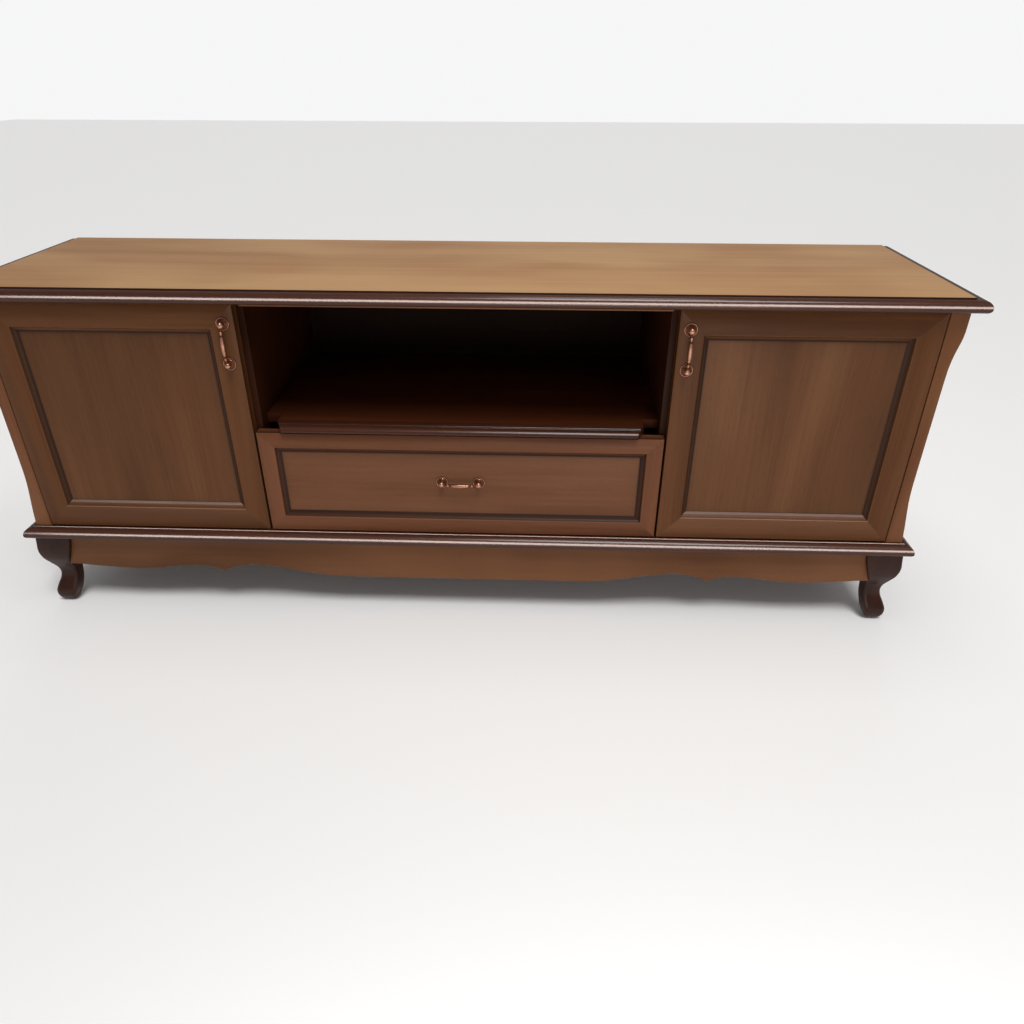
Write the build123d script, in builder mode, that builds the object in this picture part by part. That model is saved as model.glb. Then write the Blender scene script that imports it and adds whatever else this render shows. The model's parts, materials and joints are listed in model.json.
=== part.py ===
from build123d import *
import os

# Low cabinet on cabriole legs: two hinged doors, an open niche and one drawer.
# Millimetres.  +X runs to the right, the fronts face -Y, +Z is up.  The origin is on the floor
# under the middle of the cabinet.

# ---- overall size
OVERALL_WIDTH = 1600.0
OVERALL_DEPTH = 420.0
OVERALL_HEIGHT = 590.0

# ---- boards
BOARD = 20.0                     # top, bottom, doors and drawer front
PARTITION = 18.0
SIDE_BOARD = 14.0
SHELF = 16.0
BACK_BOARD = 4.0
DRAWER_BOARD = 12.0

# ---- case
MOULDING_OUT = 20.0              # how far the top's moulding stands out of the door faces
FRONT = -OVERALL_DEPTH / 2 + MOULDING_OUT      # plane of the door and drawer faces
BACK = OVERALL_DEPTH / 2
TOP_UNDER = OVERALL_HEIGHT - BOARD
TOP_HALF = OVERALL_WIDTH / 2 - MOULDING_OUT
TOP_OVER = 10.0                  # how far the top board runs out under its moulding
CASE_BOTTOM = 166.0              # upper face of the bottom board
BASE_UNDER = CASE_BOTTOM - BOARD
BASE_OUT = 17.7                  # how far the base moulding stands out
BASE_HALF = OVERALL_WIDTH / 2 - 1.0 - BASE_OUT
POST_INNER = 751.0
POST_DEPTH = 40.0
PARTITION_CENTRE = 345.0
PARTITION_INNER = PARTITION_CENTRE - PARTITION / 2
PARTITION_OUTER = PARTITION_CENTRE + PARTITION / 2
OVERLAY_GAP = 2.0                # between the back of a closed front and the partitions
PARTITION_FRONT = FRONT + BOARD + OVERLAY_GAP
BACK_PANEL_FRONT = BACK - 6.0

# ---- niche
SHELF_TOP = 370.0
SHELF_UNDER = SHELF_TOP - SHELF
NOSING_HALF = 310.0
NOSING_RETURN = 8.0              # how much shorter the nosing is at its front edge
NOSING_HEIGHT = 13.0
NOSING_OUT = 8.0
NOTCH = 26.0                     # how far the shelf is set back beside the nosing
TOP_RAIL_HEIGHT = 7.0
TOP_RAIL_FRONT = FRONT + 4.0
TOP_RAIL = 18.0

# ---- doors
DOOR_INNER = 346.5
DOOR_OUTER = 749.5
DOOR_BOTTOM = 168.0
DOOR_TOP = 567.5
DOOR_FRAME = 40.0                # flat width of the stiles and rails
BEVEL = 9.0                      # width of the moulded inner edge of a frame
RECESS = 8.0                     # depth of a panel's face behind its frame
PANEL = 8.0
GROOVE = 6.0

# ---- pivots: a pin in a case plate turns in a bush in the door, near its front outer corner
PIVOT_X = DOOR_OUTER - 10.0
PIVOT_Y = FRONT + 5.0
PIVOT_PIN_R = 2.0
PIVOT_CLEARANCE = 0.05
PIVOT_PLATE = 2.5
PIVOT_PLATE_LENGTH = 42.0
PIVOT_PLATE_WIDTH = 10.0
PIVOT_PIN_REACH = 9.0
BUSH_R = 3.5
BUSH_LENGTH = 12.0
BUSH_LIP = 0.4                   # the bush stands this far out of the door's edge

# ---- drawer
DRAWER_HALF = 343.0
DRAWER_BOTTOM = 168.0
DRAWER_TOP = 354.0
DRAWER_FRAME = 27.0
RUNNER_GAP = 12.7
DRAWER_BOX_HALF = PARTITION_INNER - RUNNER_GAP
DRAWER_BOX_BOTTOM = 182.0
DRAWER_BOX_HEIGHT = 140.0
DRAWER_BOX_LENGTH = 350.0
DRAWER_FLOOR = 4.0
DRAWER_FLOOR_LIFT = 8.0
RUNNER_LENGTH = 350.0
RUNNER_Z = 250.0
RUNNER_STEEL = 1.2
RUNNER_HEIGHTS = (45.0, 41.6, 38.4)            # outer, middle and inner members
OUTER_MOUTH = 2.7                # edges of the runner members, measured out from the drawer box
MIDDLE_MOUTH = 2.0
MIDDLE_WEB = 7.6
MIDDLE_BACK = 10.6
INNER_MOUTH = 6.0

# ---- legs and aprons
LEG_CORNER_X = OVERALL_WIDTH / 2 - 1.0         # the base moulding's corner, which the legs follow
LEG_CORNER_Y = -FRONT + BASE_OUT
LEG_BLOCK = 75.0                 # from that corner to the leg's inner faces at the top
APRON = 18.0
APRON_LOW = 84.0                 # lower corner of an apron where it meets a leg
APRON_IN_LEG = 56.0              # how near that corner the aprons reach before the legs are cut out
APRON_END = LEG_CORNER_X - APRON_IN_LEG
SIDE_APRON_END = LEG_CORNER_Y - APRON_IN_LEG

# ---- handles
HANDLE_PITCH = 64.0
HANDLE_OUT = 19.5
HANDLE_BAR_R = 2.6
HANDLE_SWELL = 1.5               # how much thicker the bar's middle is
DOOR_HANDLE_X = 364.5
DOOR_HANDLE_Z = 505.0
DRAWER_HANDLE_Z = 265.0

# ---- cupboard shelves and catches
CUPBOARD_SHELF_Z = 360.0
CUPBOARD_SHELF_BACK_SET = 45.0   # from the doors' faces to the front edge of a cupboard shelf
PIN_Y = (-90.0, 150.0)
PIN_R = 2.5
PIN_HOLE_R = 2.55
PIN_OUT = 8.0
PIN_DEEP = 7.0
CATCH_HEIGHT = 12.0
CATCH_WIDTH = 44.0
CATCH_DEPTH = 14.0
CATCH_X = PARTITION_OUTER + 25.0
STRIKE_WIDTH = 18.0
STRIKE_STEEL = 1.2

os.makedirs("parts", exist_ok=True)


def save(piece, name):
    """Label a finished piece and write it as one STEP file."""
    piece.part.label = name
    export_step(piece.part, f"parts/{name}.step")


def slab(x_low, x_high, y_low, y_high, z_low, z_high, mode=Mode.ADD):
    """A board between the given faces, added to the open part."""
    with BuildSketch(Plane.XY.offset(z_low)) as outline:
        with Locations(((x_low + x_high) / 2, (y_low + y_high) / 2)):
            Rectangle(x_high - x_low, y_high - y_low)
    extrude(outline.sketch, amount=z_high - z_low, mode=mode)


def board(name, x_low, x_high, y_low, y_high, z_low, z_high):
    """A plain rectangular piece."""
    with BuildPart() as piece:
        slab(x_low, x_high, y_low, y_high, z_low, z_high)
    save(piece, name)


# ============================================================ top
def pivot_plate_pocket(side, z_low, z_high):
    """Cut the pocket for one pivot plate, which runs from the pin towards the cabinet's middle."""
    centre = side * (PIVOT_X + PIVOT_PLATE_WIDTH / 2 - PIVOT_PLATE_LENGTH / 2)
    with BuildSketch(Plane.XY.offset(z_low)) as outline:
        with Locations((centre, PIVOT_Y)):
            SlotOverall(PIVOT_PLATE_LENGTH, PIVOT_PLATE_WIDTH)
    extrude(outline.sketch, amount=z_high - z_low, mode=Mode.SUBTRACT)


with BuildPart() as top_panel:
    slab(-TOP_HALF - TOP_OVER, TOP_HALF + TOP_OVER, FRONT - TOP_OVER, BACK, TOP_UNDER, OVERALL_HEIGHT)
    for side in (-1, 1):
        pivot_plate_pocket(side, TOP_UNDER, TOP_UNDER + PIVOT_PLATE)
save(top_panel, "top_panel")


def top_moulding_outline():
    """Section of the top's moulding: x is outwards from the board's edge, y is height."""
    with BuildLine() as outline:
        quirk = Polyline(
            (TOP_OVER, TOP_UNDER), (TOP_OVER, OVERALL_HEIGHT - 0.6), (11.0, OVERALL_HEIGHT - 1.2),
            (11.4, 585.6), (12.4, 586.2),
        )
        crown = ThreePointArc(quirk @ 1, (17.51, 582.84), (MOULDING_OUT, 576.0))
        nose = ThreePointArc(crown @ 1, (18.89, 572.5), (15.0, TOP_UNDER))
        Line(nose @ 1, (TOP_OVER, TOP_UNDER))
    make_face(outline.line)


def base_moulding_outline():
    """Section of the base moulding: x is outwards from the bottom board's edge, y is height."""
    with BuildLine() as outline:
        quirk = Polyline(
            (0, BASE_UNDER), (0, CASE_BOTTOM), (2.4, CASE_BOTTOM),
            (2.8, CASE_BOTTOM - 1.8), (3.8, CASE_BOTTOM - 1.2),
        )
        crown = ThreePointArc(quirk @ 1, (14.04, 161.22), (BASE_OUT, 152.4))
        nose = ThreePointArc(crown @ 1, (16.48, 148.55), (13.0, BASE_UNDER))
        Line(nose @ 1, (0, BASE_UNDER))
    make_face(outline.line)


def front_moulding(name, outline, half_width, reach):
    """The front length of a moulding, mitred at both ends."""
    section_plane = Plane((-half_width - reach, FRONT, 0), x_dir=(0, -1, 0), z_dir=(-1, 0, 0))
    with BuildPart() as piece:
        with BuildSketch(section_plane):
            outline()
        extrude(amount=-2 * (half_width + reach))
        for side in (-1, 1):
            mitre = Plane((side * half_width, FRONT, 0), z_dir=(side, 1, 0))
            split(bisect_by=mitre, keep=Keep.BOTTOM)
    save(piece, name)


def side_moulding(name, outline, side, half_width, reach):
    """A side length of a moulding: mitred at the front, cut square at the back."""
    section_plane = Plane((side * half_width, BACK, 0), x_dir=(side, 0, 0), z_dir=(0, -side, 0))
    length = BACK - FRONT + reach
    with BuildPart() as piece:
        with BuildSketch(section_plane):
            outline()
        extrude(amount=side * length)
        mitre = Plane((side * half_width, FRONT, 0), z_dir=(side, 1, 0))
        split(bisect_by=mitre, keep=Keep.TOP)
    save(piece, name)


SIDES = (("left", -1), ("right", 1))

front_moulding("top_moulding_front", top_moulding_outline, TOP_HALF, MOULDING_OUT)
front_moulding("base_moulding_front", base_moulding_outline, BASE_HALF, BASE_OUT)
for side_name, side in SIDES:
    side_moulding(f"top_moulding_{side_name}", top_moulding_outline, side, TOP_HALF, MOULDING_OUT)
    side_moulding(f"base_moulding_{side_name}", base_moulding_outline, side, BASE_HALF, BASE_OUT)

# ============================================================ case
with BuildPart() as bottom_panel:
    slab(-BASE_HALF, BASE_HALF, FRONT, BACK, BASE_UNDER, CASE_BOTTOM)
    for side in (-1, 1):
        pivot_plate_pocket(side, CASE_BOTTOM - PIVOT_PLATE, CASE_BOTTOM)
save(bottom_panel, "bottom_panel")


def post(name, side, y_low):
    """A corner post whose outer edge is waisted: it swells at the head and flares at the foot."""
    face_plane = Plane((0, y_low, 0), x_dir=(1, 0, 0), z_dir=(0, -1, 0))
    with BuildPart() as piece:
        with BuildSketch(face_plane):
            with BuildLine():
                head = Polyline(
                    (side * POST_INNER, CASE_BOTTOM),
                    (side * POST_INNER, TOP_UNDER),
                    (side * 780.0, TOP_UNDER),
                    (side * 780.0, 536.0),
                )
                shoulder = Bezier(
                    head @ 1, (side * 779.6, 518.0), (side * 771.4, 512.0), (side * 770.4, 490.0),
                )
                waist = Line(shoulder @ 1, (side * 770.2, 280.0))
                flare = Bezier(
                    waist @ 1, (side * 770.2, 238.0), (side * 781.6, 226.0), (side * 781.6, 196.0),
                )
                Polyline(flare @ 1, (side * 781.6, CASE_BOTTOM), (side * POST_INNER, CASE_BOTTOM))
            make_face()
        extrude(amount=-POST_DEPTH)
    save(piece, name)


def shelf_pin_places(side):
    """Centre line of each shelf pin: two in the partition and two in the side panel."""
    pin_z = CUPBOARD_SHELF_Z - PIN_R
    return [
        (side * wall_x, pin_y, pin_z, side * into_wall)
        for wall_x, into_wall in ((PARTITION_OUTER, -1), (POST_INNER + 1.0, 1))
        for pin_y in PIN_Y
    ]


def pin_holes(side, wall_x):
    """Blind holes for the shelf pins in the wall whose cupboard face is at wall_x."""
    for x, y, z, into_wall in shelf_pin_places(side):
        if abs(x - wall_x) < 1e-6:
            with BuildSketch(Plane((x, y, z), x_dir=(0, 1, 0), z_dir=(into_wall, 0, 0))) as mouth:
                Circle(PIN_HOLE_R)
            extrude(mouth.sketch, amount=PIN_DEEP + 0.5, mode=Mode.SUBTRACT)


for side_name, side in SIDES:
    post(f"post_front_{side_name}", side, FRONT)
    post(f"post_back_{side_name}", side, BACK - POST_DEPTH)

    with BuildPart() as side_panel:
        inner = side * (POST_INNER + 1.0)
        outer = inner + side * SIDE_BOARD
        slab(
            min(inner, outer), max(inner, outer),
            FRONT + POST_DEPTH, BACK - POST_DEPTH,
            CASE_BOTTOM, TOP_UNDER,
        )
        pin_holes(side, inner)
    save(side_panel, f"side_panel_{side_name}")

    with BuildPart() as partition:
        inner = side * PARTITION_INNER
        outer = side * PARTITION_OUTER
        slab(
            min(inner, outer), max(inner, outer),
            PARTITION_FRONT, BACK_PANEL_FRONT,
            CASE_BOTTOM, TOP_UNDER,
        )
        pin_holes(side, outer)
    save(partition, f"partition_{side_name}")

    inner = side * (PARTITION_OUTER + 0.5)
    outer = side * (POST_INNER - 0.5)
    board(
        f"cupboard_shelf_{side_name}",
        min(inner, outer), max(inner, outer),
        FRONT + CUPBOARD_SHELF_BACK_SET, BACK_PANEL_FRONT - 2.0,
        CUPBOARD_SHELF_Z, CUPBOARD_SHELF_Z + SHELF,
    )

board(
    "back_panel",
    -POST_INNER, POST_INNER,
    BACK_PANEL_FRONT, BACK_PANEL_FRONT + BACK_BOARD,
    CASE_BOTTOM, TOP_UNDER,
)

with BuildPart() as shelf_pins:
    for side in (-1, 1):
        for x, y, z, into_wall in shelf_pin_places(side):
            out_of_wall = x - into_wall * PIN_OUT
            with BuildSketch(Plane((out_of_wall, y, z), x_dir=(0, 1, 0), z_dir=(into_wall, 0, 0))):
                Circle(PIN_R)
            extrude(amount=PIN_OUT + PIN_DEEP)
save(shelf_pins, "shelf_pins")

# ---- niche: a shelf over the drawer with a moulded front edge, and a thin rail under the top
with BuildPart() as niche_shelf:
    slab(-PARTITION_INNER, PARTITION_INNER, PARTITION_FRONT, BACK_PANEL_FRONT, SHELF_UNDER, SHELF_TOP)
    for side in (-1, 1):
        notch_start = side * (NOSING_HALF - 2.0)
        notch_end = side * PARTITION_INNER
        slab(
            min(notch_start, notch_end), max(notch_start, notch_end),
            PARTITION_FRONT, PARTITION_FRONT + NOTCH,
            SHELF_UNDER, SHELF_TOP,
            mode=Mode.SUBTRACT,
        )
save(niche_shelf, "niche_shelf")

nosing_top = SHELF_TOP
nosing_bottom = SHELF_TOP - NOSING_HEIGHT
nosing_depth = PARTITION_FRONT - (FRONT - NOSING_OUT)
nosing_plane = Plane((-NOSING_HALF, PARTITION_FRONT, 0), x_dir=(0, -1, 0), z_dir=(-1, 0, 0))
with BuildPart() as niche_shelf_nosing:
    with BuildSketch(nosing_plane):
        with BuildLine():
            quirk = Polyline(
                (0, nosing_bottom), (0, nosing_top),
                (nosing_depth - 13.0, nosing_top),
                (nosing_depth - 12.6, nosing_top - 2.4),
                (nosing_depth - 11.6, nosing_top - 2.0),
            )
            shoulder = (nosing_depth - 3.6, nosing_top - 4.4)
            crown = ThreePointArc(quirk @ 1, shoulder, (nosing_depth, nosing_top - 9.0))
            underside = (nosing_depth - 1.2, nosing_top - 11.8)
            nose = ThreePointArc(crown @ 1, underside, (nosing_depth - 4.0, nosing_bottom))
            Line(nose @ 1, (0, nosing_bottom))
        make_face()
    extrude(amount=-2 * NOSING_HALF)
    for side in (-1, 1):
        front_end = side * (NOSING_HALF - NOSING_RETURN)
        returned_end = Plane((front_end, FRONT - NOSING_OUT, 0), z_dir=(side, -0.3, 0))
        split(bisect_by=returned_end, keep=Keep.BOTTOM)
save(niche_shelf_nosing, "niche_shelf_nosing")

board(
    "niche_top_rail",
    -PARTITION_INNER, PARTITION_INNER,
    TOP_RAIL_FRONT, TOP_RAIL_FRONT + TOP_RAIL,
    TOP_UNDER - TOP_RAIL_HEIGHT, TOP_UNDER,
)


# ============================================================ legs and aprons
def leg_outline():
    """Cabriole outline: x is inwards from the cabinet's corner, y is height above the floor."""
    with BuildLine() as outline:
        knee = Spline(
            (12.0, BASE_UNDER), (9.4, 114.0), (19.0, 85.0), (29.0, 59.0), (17.2, 24.0),
            tangents=((-0.12, -1.0), (-0.2, -1.0)),
        )
        toe = Spline(knee @ 1, (18.6, 10.0), (26.0, 0.0), tangents=((-0.2, -1.0), (1.0, -0.9)))
        sole = Line(toe @ 1, (40.0, 0.0))
        calf = Spline(
            sole @ 1, (49.6, 22.0), (54.6, 55.0), (58.0, 88.0), (70.0, 118.0), (LEG_BLOCK, BASE_UNDER),
            tangents=((1.0, 1.1), (0.1, 1.0)),
        )
        Line(calf @ 1, (12.0, BASE_UNDER))
    make_face(outline.line)


def leg(name, side, end):
    """The same outline sawn from two neighbouring faces; end is -1 at the front, 1 at the back."""
    corner = (side * LEG_CORNER_X, end * LEG_CORNER_Y, 0)
    with BuildPart() as piece:
        with BuildSketch(Plane(corner, x_dir=(-side, 0, 0), z_dir=(0, side, 0))):
            leg_outline()
        extrude(amount=LEG_BLOCK * 2, both=True)
        with BuildSketch(Plane(corner, x_dir=(0, -end, 0), z_dir=(-end, 0, 0))):
            leg_outline()
        extrude(amount=LEG_BLOCK * 2, both=True, mode=Mode.INTERSECT)
    save(piece, name)


for side_name, side in SIDES:
    leg(f"leg_front_{side_name}", side, -1)
    leg(f"leg_back_{side_name}", side, 1)

def clear_of_legs(planes, depth):
    """Cut an apron's ends to the legs' inner outline; each plane has its x axis running inwards."""
    for plane, way in planes:
        with BuildSketch(plane) as outline:
            leg_outline()
        extrude(outline.sketch, amount=way * depth, mode=Mode.SUBTRACT)


def legs_across(y_low):
    """Planes of the two legs' outlines as seen from the front, with the way to the back."""
    return [
        (Plane((side * LEG_CORNER_X, y_low, 0), x_dir=(-side, 0, 0), z_dir=(0, side, 0)), side)
        for side in (-1, 1)
    ]


def legs_along(x_low):
    """Planes of the two legs' outlines as seen from the side, with the way to the right."""
    return [
        (Plane((x_low, end * LEG_CORNER_Y, 0), x_dir=(0, -end, 0), z_dir=(-end, 0, 0)), -end)
        for end in (-1, 1)
    ]


with BuildPart() as apron_front:
    with BuildSketch(Plane((0, FRONT, 0), x_dir=(1, 0, 0), z_dir=(0, -1, 0))):
        with BuildLine():
            Line((0, BASE_UNDER), (APRON_END, BASE_UNDER))
            Line((APRON_END, BASE_UNDER), (APRON_END, APRON_LOW))
            Line((APRON_END, APRON_LOW), (724.0, APRON_LOW))
            outer_wave = Spline(
                (724.0, APRON_LOW), (680.0, 80.4), (608.0, 76.6), (540.0, 83.0),
                (500.0, 86.4), (470.0, 83.6), (449.0, 74.0),
            )
            inner_wave = Spline(
                outer_wave @ 1, (436.0, 82.0), (418.0, 86.6), (386.0, 90.0),
                (345.0, 86.0), (271.0, 73.0), (215.0, 69.0),
                tangents=((-0.5, 1.0), (-1.0, 0.0)),
            )
            Line(inner_wave @ 1, (0, 69.0))
            mirror(about=Plane.YZ)
        make_face()
    extrude(amount=-APRON)
    clear_of_legs(legs_across(FRONT), APRON)
save(apron_front, "apron_front")

with BuildPart() as apron_back:
    slab(-APRON_END, APRON_END, -FRONT - APRON, -FRONT, APRON_LOW + 4.0, BASE_UNDER)
    clear_of_legs(legs_across(-FRONT - APRON), APRON)
save(apron_back, "apron_back")

with BuildPart() as side_aprons:
    for x_low in (-BASE_HALF, BASE_HALF - APRON):
        with BuildSketch(Plane((x_low, 0, 0), x_dir=(0, 1, 0), z_dir=(1, 0, 0))):
            with BuildLine():
                Polyline(
                    (-SIDE_APRON_END, APRON_LOW), (-SIDE_APRON_END, BASE_UNDER),
                    (SIDE_APRON_END, BASE_UNDER), (SIDE_APRON_END, APRON_LOW),
                )
                arch_top = (0, APRON_LOW + 12.0)
                ThreePointArc((SIDE_APRON_END, APRON_LOW), arch_top, (-SIDE_APRON_END, APRON_LOW))
            make_face()
        extrude(amount=APRON)
        clear_of_legs(legs_along(x_low), APRON)
save(side_aprons, "side_aprons")


# ============================================================ pivots, catches and handles
with BuildPart() as pivot_plates:
    for side in (-1, 1):
        centre = side * (PIVOT_X + PIVOT_PLATE_WIDTH / 2 - PIVOT_PLATE_LENGTH / 2)
        for plate_z, pin_start, pin_way in (
            (TOP_UNDER, TOP_UNDER, -1),
            (CASE_BOTTOM - PIVOT_PLATE, CASE_BOTTOM, 1),
        ):
            with BuildSketch(Plane.XY.offset(plate_z)):
                with Locations((centre, PIVOT_Y)):
                    SlotOverall(PIVOT_PLATE_LENGTH, PIVOT_PLATE_WIDTH)
            extrude(amount=PIVOT_PLATE)
            with BuildSketch(Plane.XY.offset(pin_start)):
                with Locations((side * PIVOT_X, PIVOT_Y)):
                    Circle(PIVOT_PIN_R)
            extrude(amount=pin_way * PIVOT_PIN_REACH)
save(pivot_plates, "pivot_plates")


def door_bushes(name, side):
    """Two bushes let into the ends of the door's outer stile, with a hole for the case's pin."""
    with BuildPart() as piece:
        for edge_z, way in ((DOOR_TOP, -1), (DOOR_BOTTOM, 1)):
            with BuildSketch(Plane.XY.offset(edge_z - way * BUSH_LIP)):
                with Locations((side * PIVOT_X, PIVOT_Y)):
                    Circle(BUSH_R)
                    Circle(PIVOT_PIN_R + PIVOT_CLEARANCE, mode=Mode.SUBTRACT)
            extrude(amount=way * (BUSH_LENGTH + BUSH_LIP))
    save(piece, name)


def bow_handle(name, centre_x, face_y, centre_z, along):
    """A fixed bow: two rosettes with a ball on each, and a bar that bows out and swells in the middle."""
    face = Plane((centre_x, face_y, centre_z), x_dir=along, z_dir=(0, -1, 0))
    bar_ends_out = 11.6
    bar_middle_out = HANDLE_OUT - HANDLE_BAR_R - HANDLE_SWELL
    half = HANDLE_PITCH / 2
    with BuildPart() as piece:
        for end in (-1, 1):
            middle = face.from_local_coords((end * half, 0, 0))
            with BuildSketch(Plane(middle, x_dir=face.x_dir, z_dir=-face.y_dir)):
                with BuildLine():
                    rim = Polyline((0, 0), (10.5, 0), (10.5, 1.2))
                    dish = ThreePointArc(rim @ 1, (8.2, 2.8), (5.0, 3.4))
                    stem = Polyline(dish @ 1, (3.4, 5.0), (3.4, 7.0))
                    ball = ThreePointArc(stem @ 1, (5.2, 11.0), (2.0, 15.6))
                    Polyline(ball @ 1, (0, 15.6), (0, 0))
                make_face()
            revolve(axis=Axis(middle, face.z_dir))
        with BuildLine(Plane(face.origin, x_dir=face.x_dir, z_dir=-face.y_dir)) as bow:
            ThreePointArc((-half, bar_ends_out), (0, bar_middle_out), (half, bar_ends_out))
        with BuildSketch(Plane(bow.line @ 0, z_dir=bow.line % 0)):
            Circle(HANDLE_BAR_R)
        sweep(path=bow.line)
        swell_middle = face.from_local_coords((0, 0, bar_middle_out))
        with BuildSketch(Plane(swell_middle, x_dir=face.x_dir, z_dir=face.z_dir)):
            with BuildLine():
                belly = ThreePointArc((-17, 1.2), (0, HANDLE_BAR_R + HANDLE_SWELL), (17, 1.2))
                Polyline(belly @ 1, (17, 0), (-17, 0), belly @ 0)
            make_face()
        revolve(axis=Axis(swell_middle, face.x_dir))
    save(piece, name)


bow_handle("left_door_handle", -DOOR_HANDLE_X, FRONT, DOOR_HANDLE_Z, (0, 0, 1))
bow_handle("right_door_handle", DOOR_HANDLE_X, FRONT, DOOR_HANDLE_Z, (0, 0, 1))
bow_handle("drawer_handle", 0.0, FRONT + RECESS, DRAWER_HANDLE_Z, (1, 0, 0))


# ============================================================ framed fronts
def moulded_recess(x_low, x_high, z_low, z_high):
    """Cut the sloped inner edge of a frame, and the rebate behind it that takes the panel."""
    centre = ((x_low + x_high) / 2, (z_low + z_high) / 2)
    width = x_high - x_low
    height = z_high - z_low
    with BuildSketch(Plane((0, FRONT, 0), x_dir=(1, 0, 0), z_dir=(0, -1, 0))) as mouth:
        with Locations(centre):
            Rectangle(width, height)
    with BuildSketch(Plane((0, FRONT + RECESS, 0), x_dir=(1, 0, 0), z_dir=(0, -1, 0))) as bed:
        with Locations(centre):
            Rectangle(width - 2 * BEVEL, height - 2 * BEVEL)
    loft([mouth.sketch, bed.sketch], mode=Mode.SUBTRACT)
    grow = GROOVE - BEVEL
    slab(
        x_low - grow, x_high + grow, FRONT + RECESS, FRONT + BOARD, z_low - grow, z_high + grow,
        mode=Mode.SUBTRACT,
    )


def frame_corners(x_low, x_high, z_low, z_high, stile):
    """Outer and inner corners of a mitred frame, each as (bottom left, bottom right, top right, top left)."""
    outer = ((x_low, z_low), (x_high, z_low), (x_high, z_high), (x_low, z_high))
    inner = (
        (x_low + stile, z_low + stile), (x_high - stile, z_low + stile),
        (x_high - stile, z_high - stile), (x_low + stile, z_high - stile),
    )
    return outer, inner


def frame_piece(corners, start, recess):
    """One mitred stile or rail, from corner number start to the next, with its share of the recess cut."""
    outer, inner = corners
    end = (start + 1) % 4
    with BuildSketch(Plane((0, FRONT, 0), x_dir=(1, 0, 0), z_dir=(0, -1, 0))) as face:
        with BuildLine():
            Polyline(outer[start], outer[end], inner[end], inner[start], close=True)
        make_face()
    extrude(face.sketch, amount=-BOARD)
    moulded_recess(*recess)


def recess_panel(name, recess):
    """The thin panel that fills a frame from behind."""
    grow = BEVEL - GROOVE
    x_low, x_high, z_low, z_high = recess
    board(
        name,
        x_low + grow, x_high - grow,
        FRONT + RECESS, FRONT + RECESS + PANEL,
        z_low + grow, z_high - grow,
    )


def bush_holes(side):
    """Blind holes for the pivot bushes, which cross the mitres at the door's two outer corners."""
    for edge_z, way in ((DOOR_TOP, -1), (DOOR_BOTTOM, 1)):
        with BuildSketch(Plane.XY.offset(edge_z)) as mouth:
            with Locations((side * PIVOT_X, PIVOT_Y)):
                Circle(BUSH_R)
        extrude(mouth.sketch, amount=way * BUSH_LENGTH, mode=Mode.SUBTRACT)


FRAME_BOTTOM, FRAME_RIGHT, FRAME_TOP, FRAME_LEFT = range(4)


def door(prefix, side):
    """A framed door; side is -1 for the left door, whose pivots are at its left."""
    x_low = min(side * DOOR_INNER, side * DOOR_OUTER)
    x_high = max(side * DOOR_INNER, side * DOOR_OUTER)
    recess = (x_low + DOOR_FRAME, x_high - DOOR_FRAME, DOOR_BOTTOM + DOOR_FRAME, DOOR_TOP - DOOR_FRAME)
    corners = frame_corners(x_low, x_high, DOOR_BOTTOM, DOOR_TOP, DOOR_FRAME + BEVEL)
    outer_edge = FRAME_LEFT if side < 0 else FRAME_RIGHT
    inner_edge = FRAME_RIGHT if side < 0 else FRAME_LEFT
    for piece_name, start in (
        ("stile_outer", outer_edge), ("stile_inner", inner_edge),
        ("rail_bottom", FRAME_BOTTOM), ("rail_top", FRAME_TOP),
    ):
        with BuildPart() as piece:
            frame_piece(corners, start, recess)
            if start != inner_edge:
                bush_holes(side)
        save(piece, f"{prefix}_{piece_name}")
    recess_panel(f"{prefix}_panel", recess)
    door_bushes(f"{prefix}_bushes", side)


door("left_door", -1)
door("right_door", 1)

drawer_recess = (
    -DRAWER_HALF + DRAWER_FRAME, DRAWER_HALF - DRAWER_FRAME,
    DRAWER_BOTTOM + DRAWER_FRAME, DRAWER_TOP - DRAWER_FRAME,
)
drawer_corners = frame_corners(-DRAWER_HALF, DRAWER_HALF, DRAWER_BOTTOM, DRAWER_TOP, DRAWER_FRAME + BEVEL)
with BuildPart() as drawer_front_stiles:
    frame_piece(drawer_corners, FRAME_LEFT, drawer_recess)
    frame_piece(drawer_corners, FRAME_RIGHT, drawer_recess)
save(drawer_front_stiles, "drawer_front_stiles")
with BuildPart() as drawer_front_rails:
    frame_piece(drawer_corners, FRAME_BOTTOM, drawer_recess)
    frame_piece(drawer_corners, FRAME_TOP, drawer_recess)
save(drawer_front_rails, "drawer_front_rails")
recess_panel("drawer_front_panel", drawer_recess)

# ---- magnetic catches under the top, with a striking plate inside each door
with BuildPart() as door_catches:
    for side in (-1, 1):
        catch_x = side * CATCH_X
        slab(
            catch_x - CATCH_WIDTH / 2, catch_x + CATCH_WIDTH / 2,
            PARTITION_FRONT, PARTITION_FRONT + CATCH_DEPTH,
            TOP_UNDER - CATCH_HEIGHT, TOP_UNDER,
        )
save(door_catches, "door_catches")
for side_name, side in SIDES:
    catch_x = side * CATCH_X
    board(
        f"{side_name}_door_strike",
        catch_x - STRIKE_WIDTH / 2, catch_x + STRIKE_WIDTH / 2,
        FRONT + BOARD, FRONT + BOARD + STRIKE_STEEL,
        TOP_UNDER - CATCH_HEIGHT - 2.0, DOOR_TOP - 1.5,
    )

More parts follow.
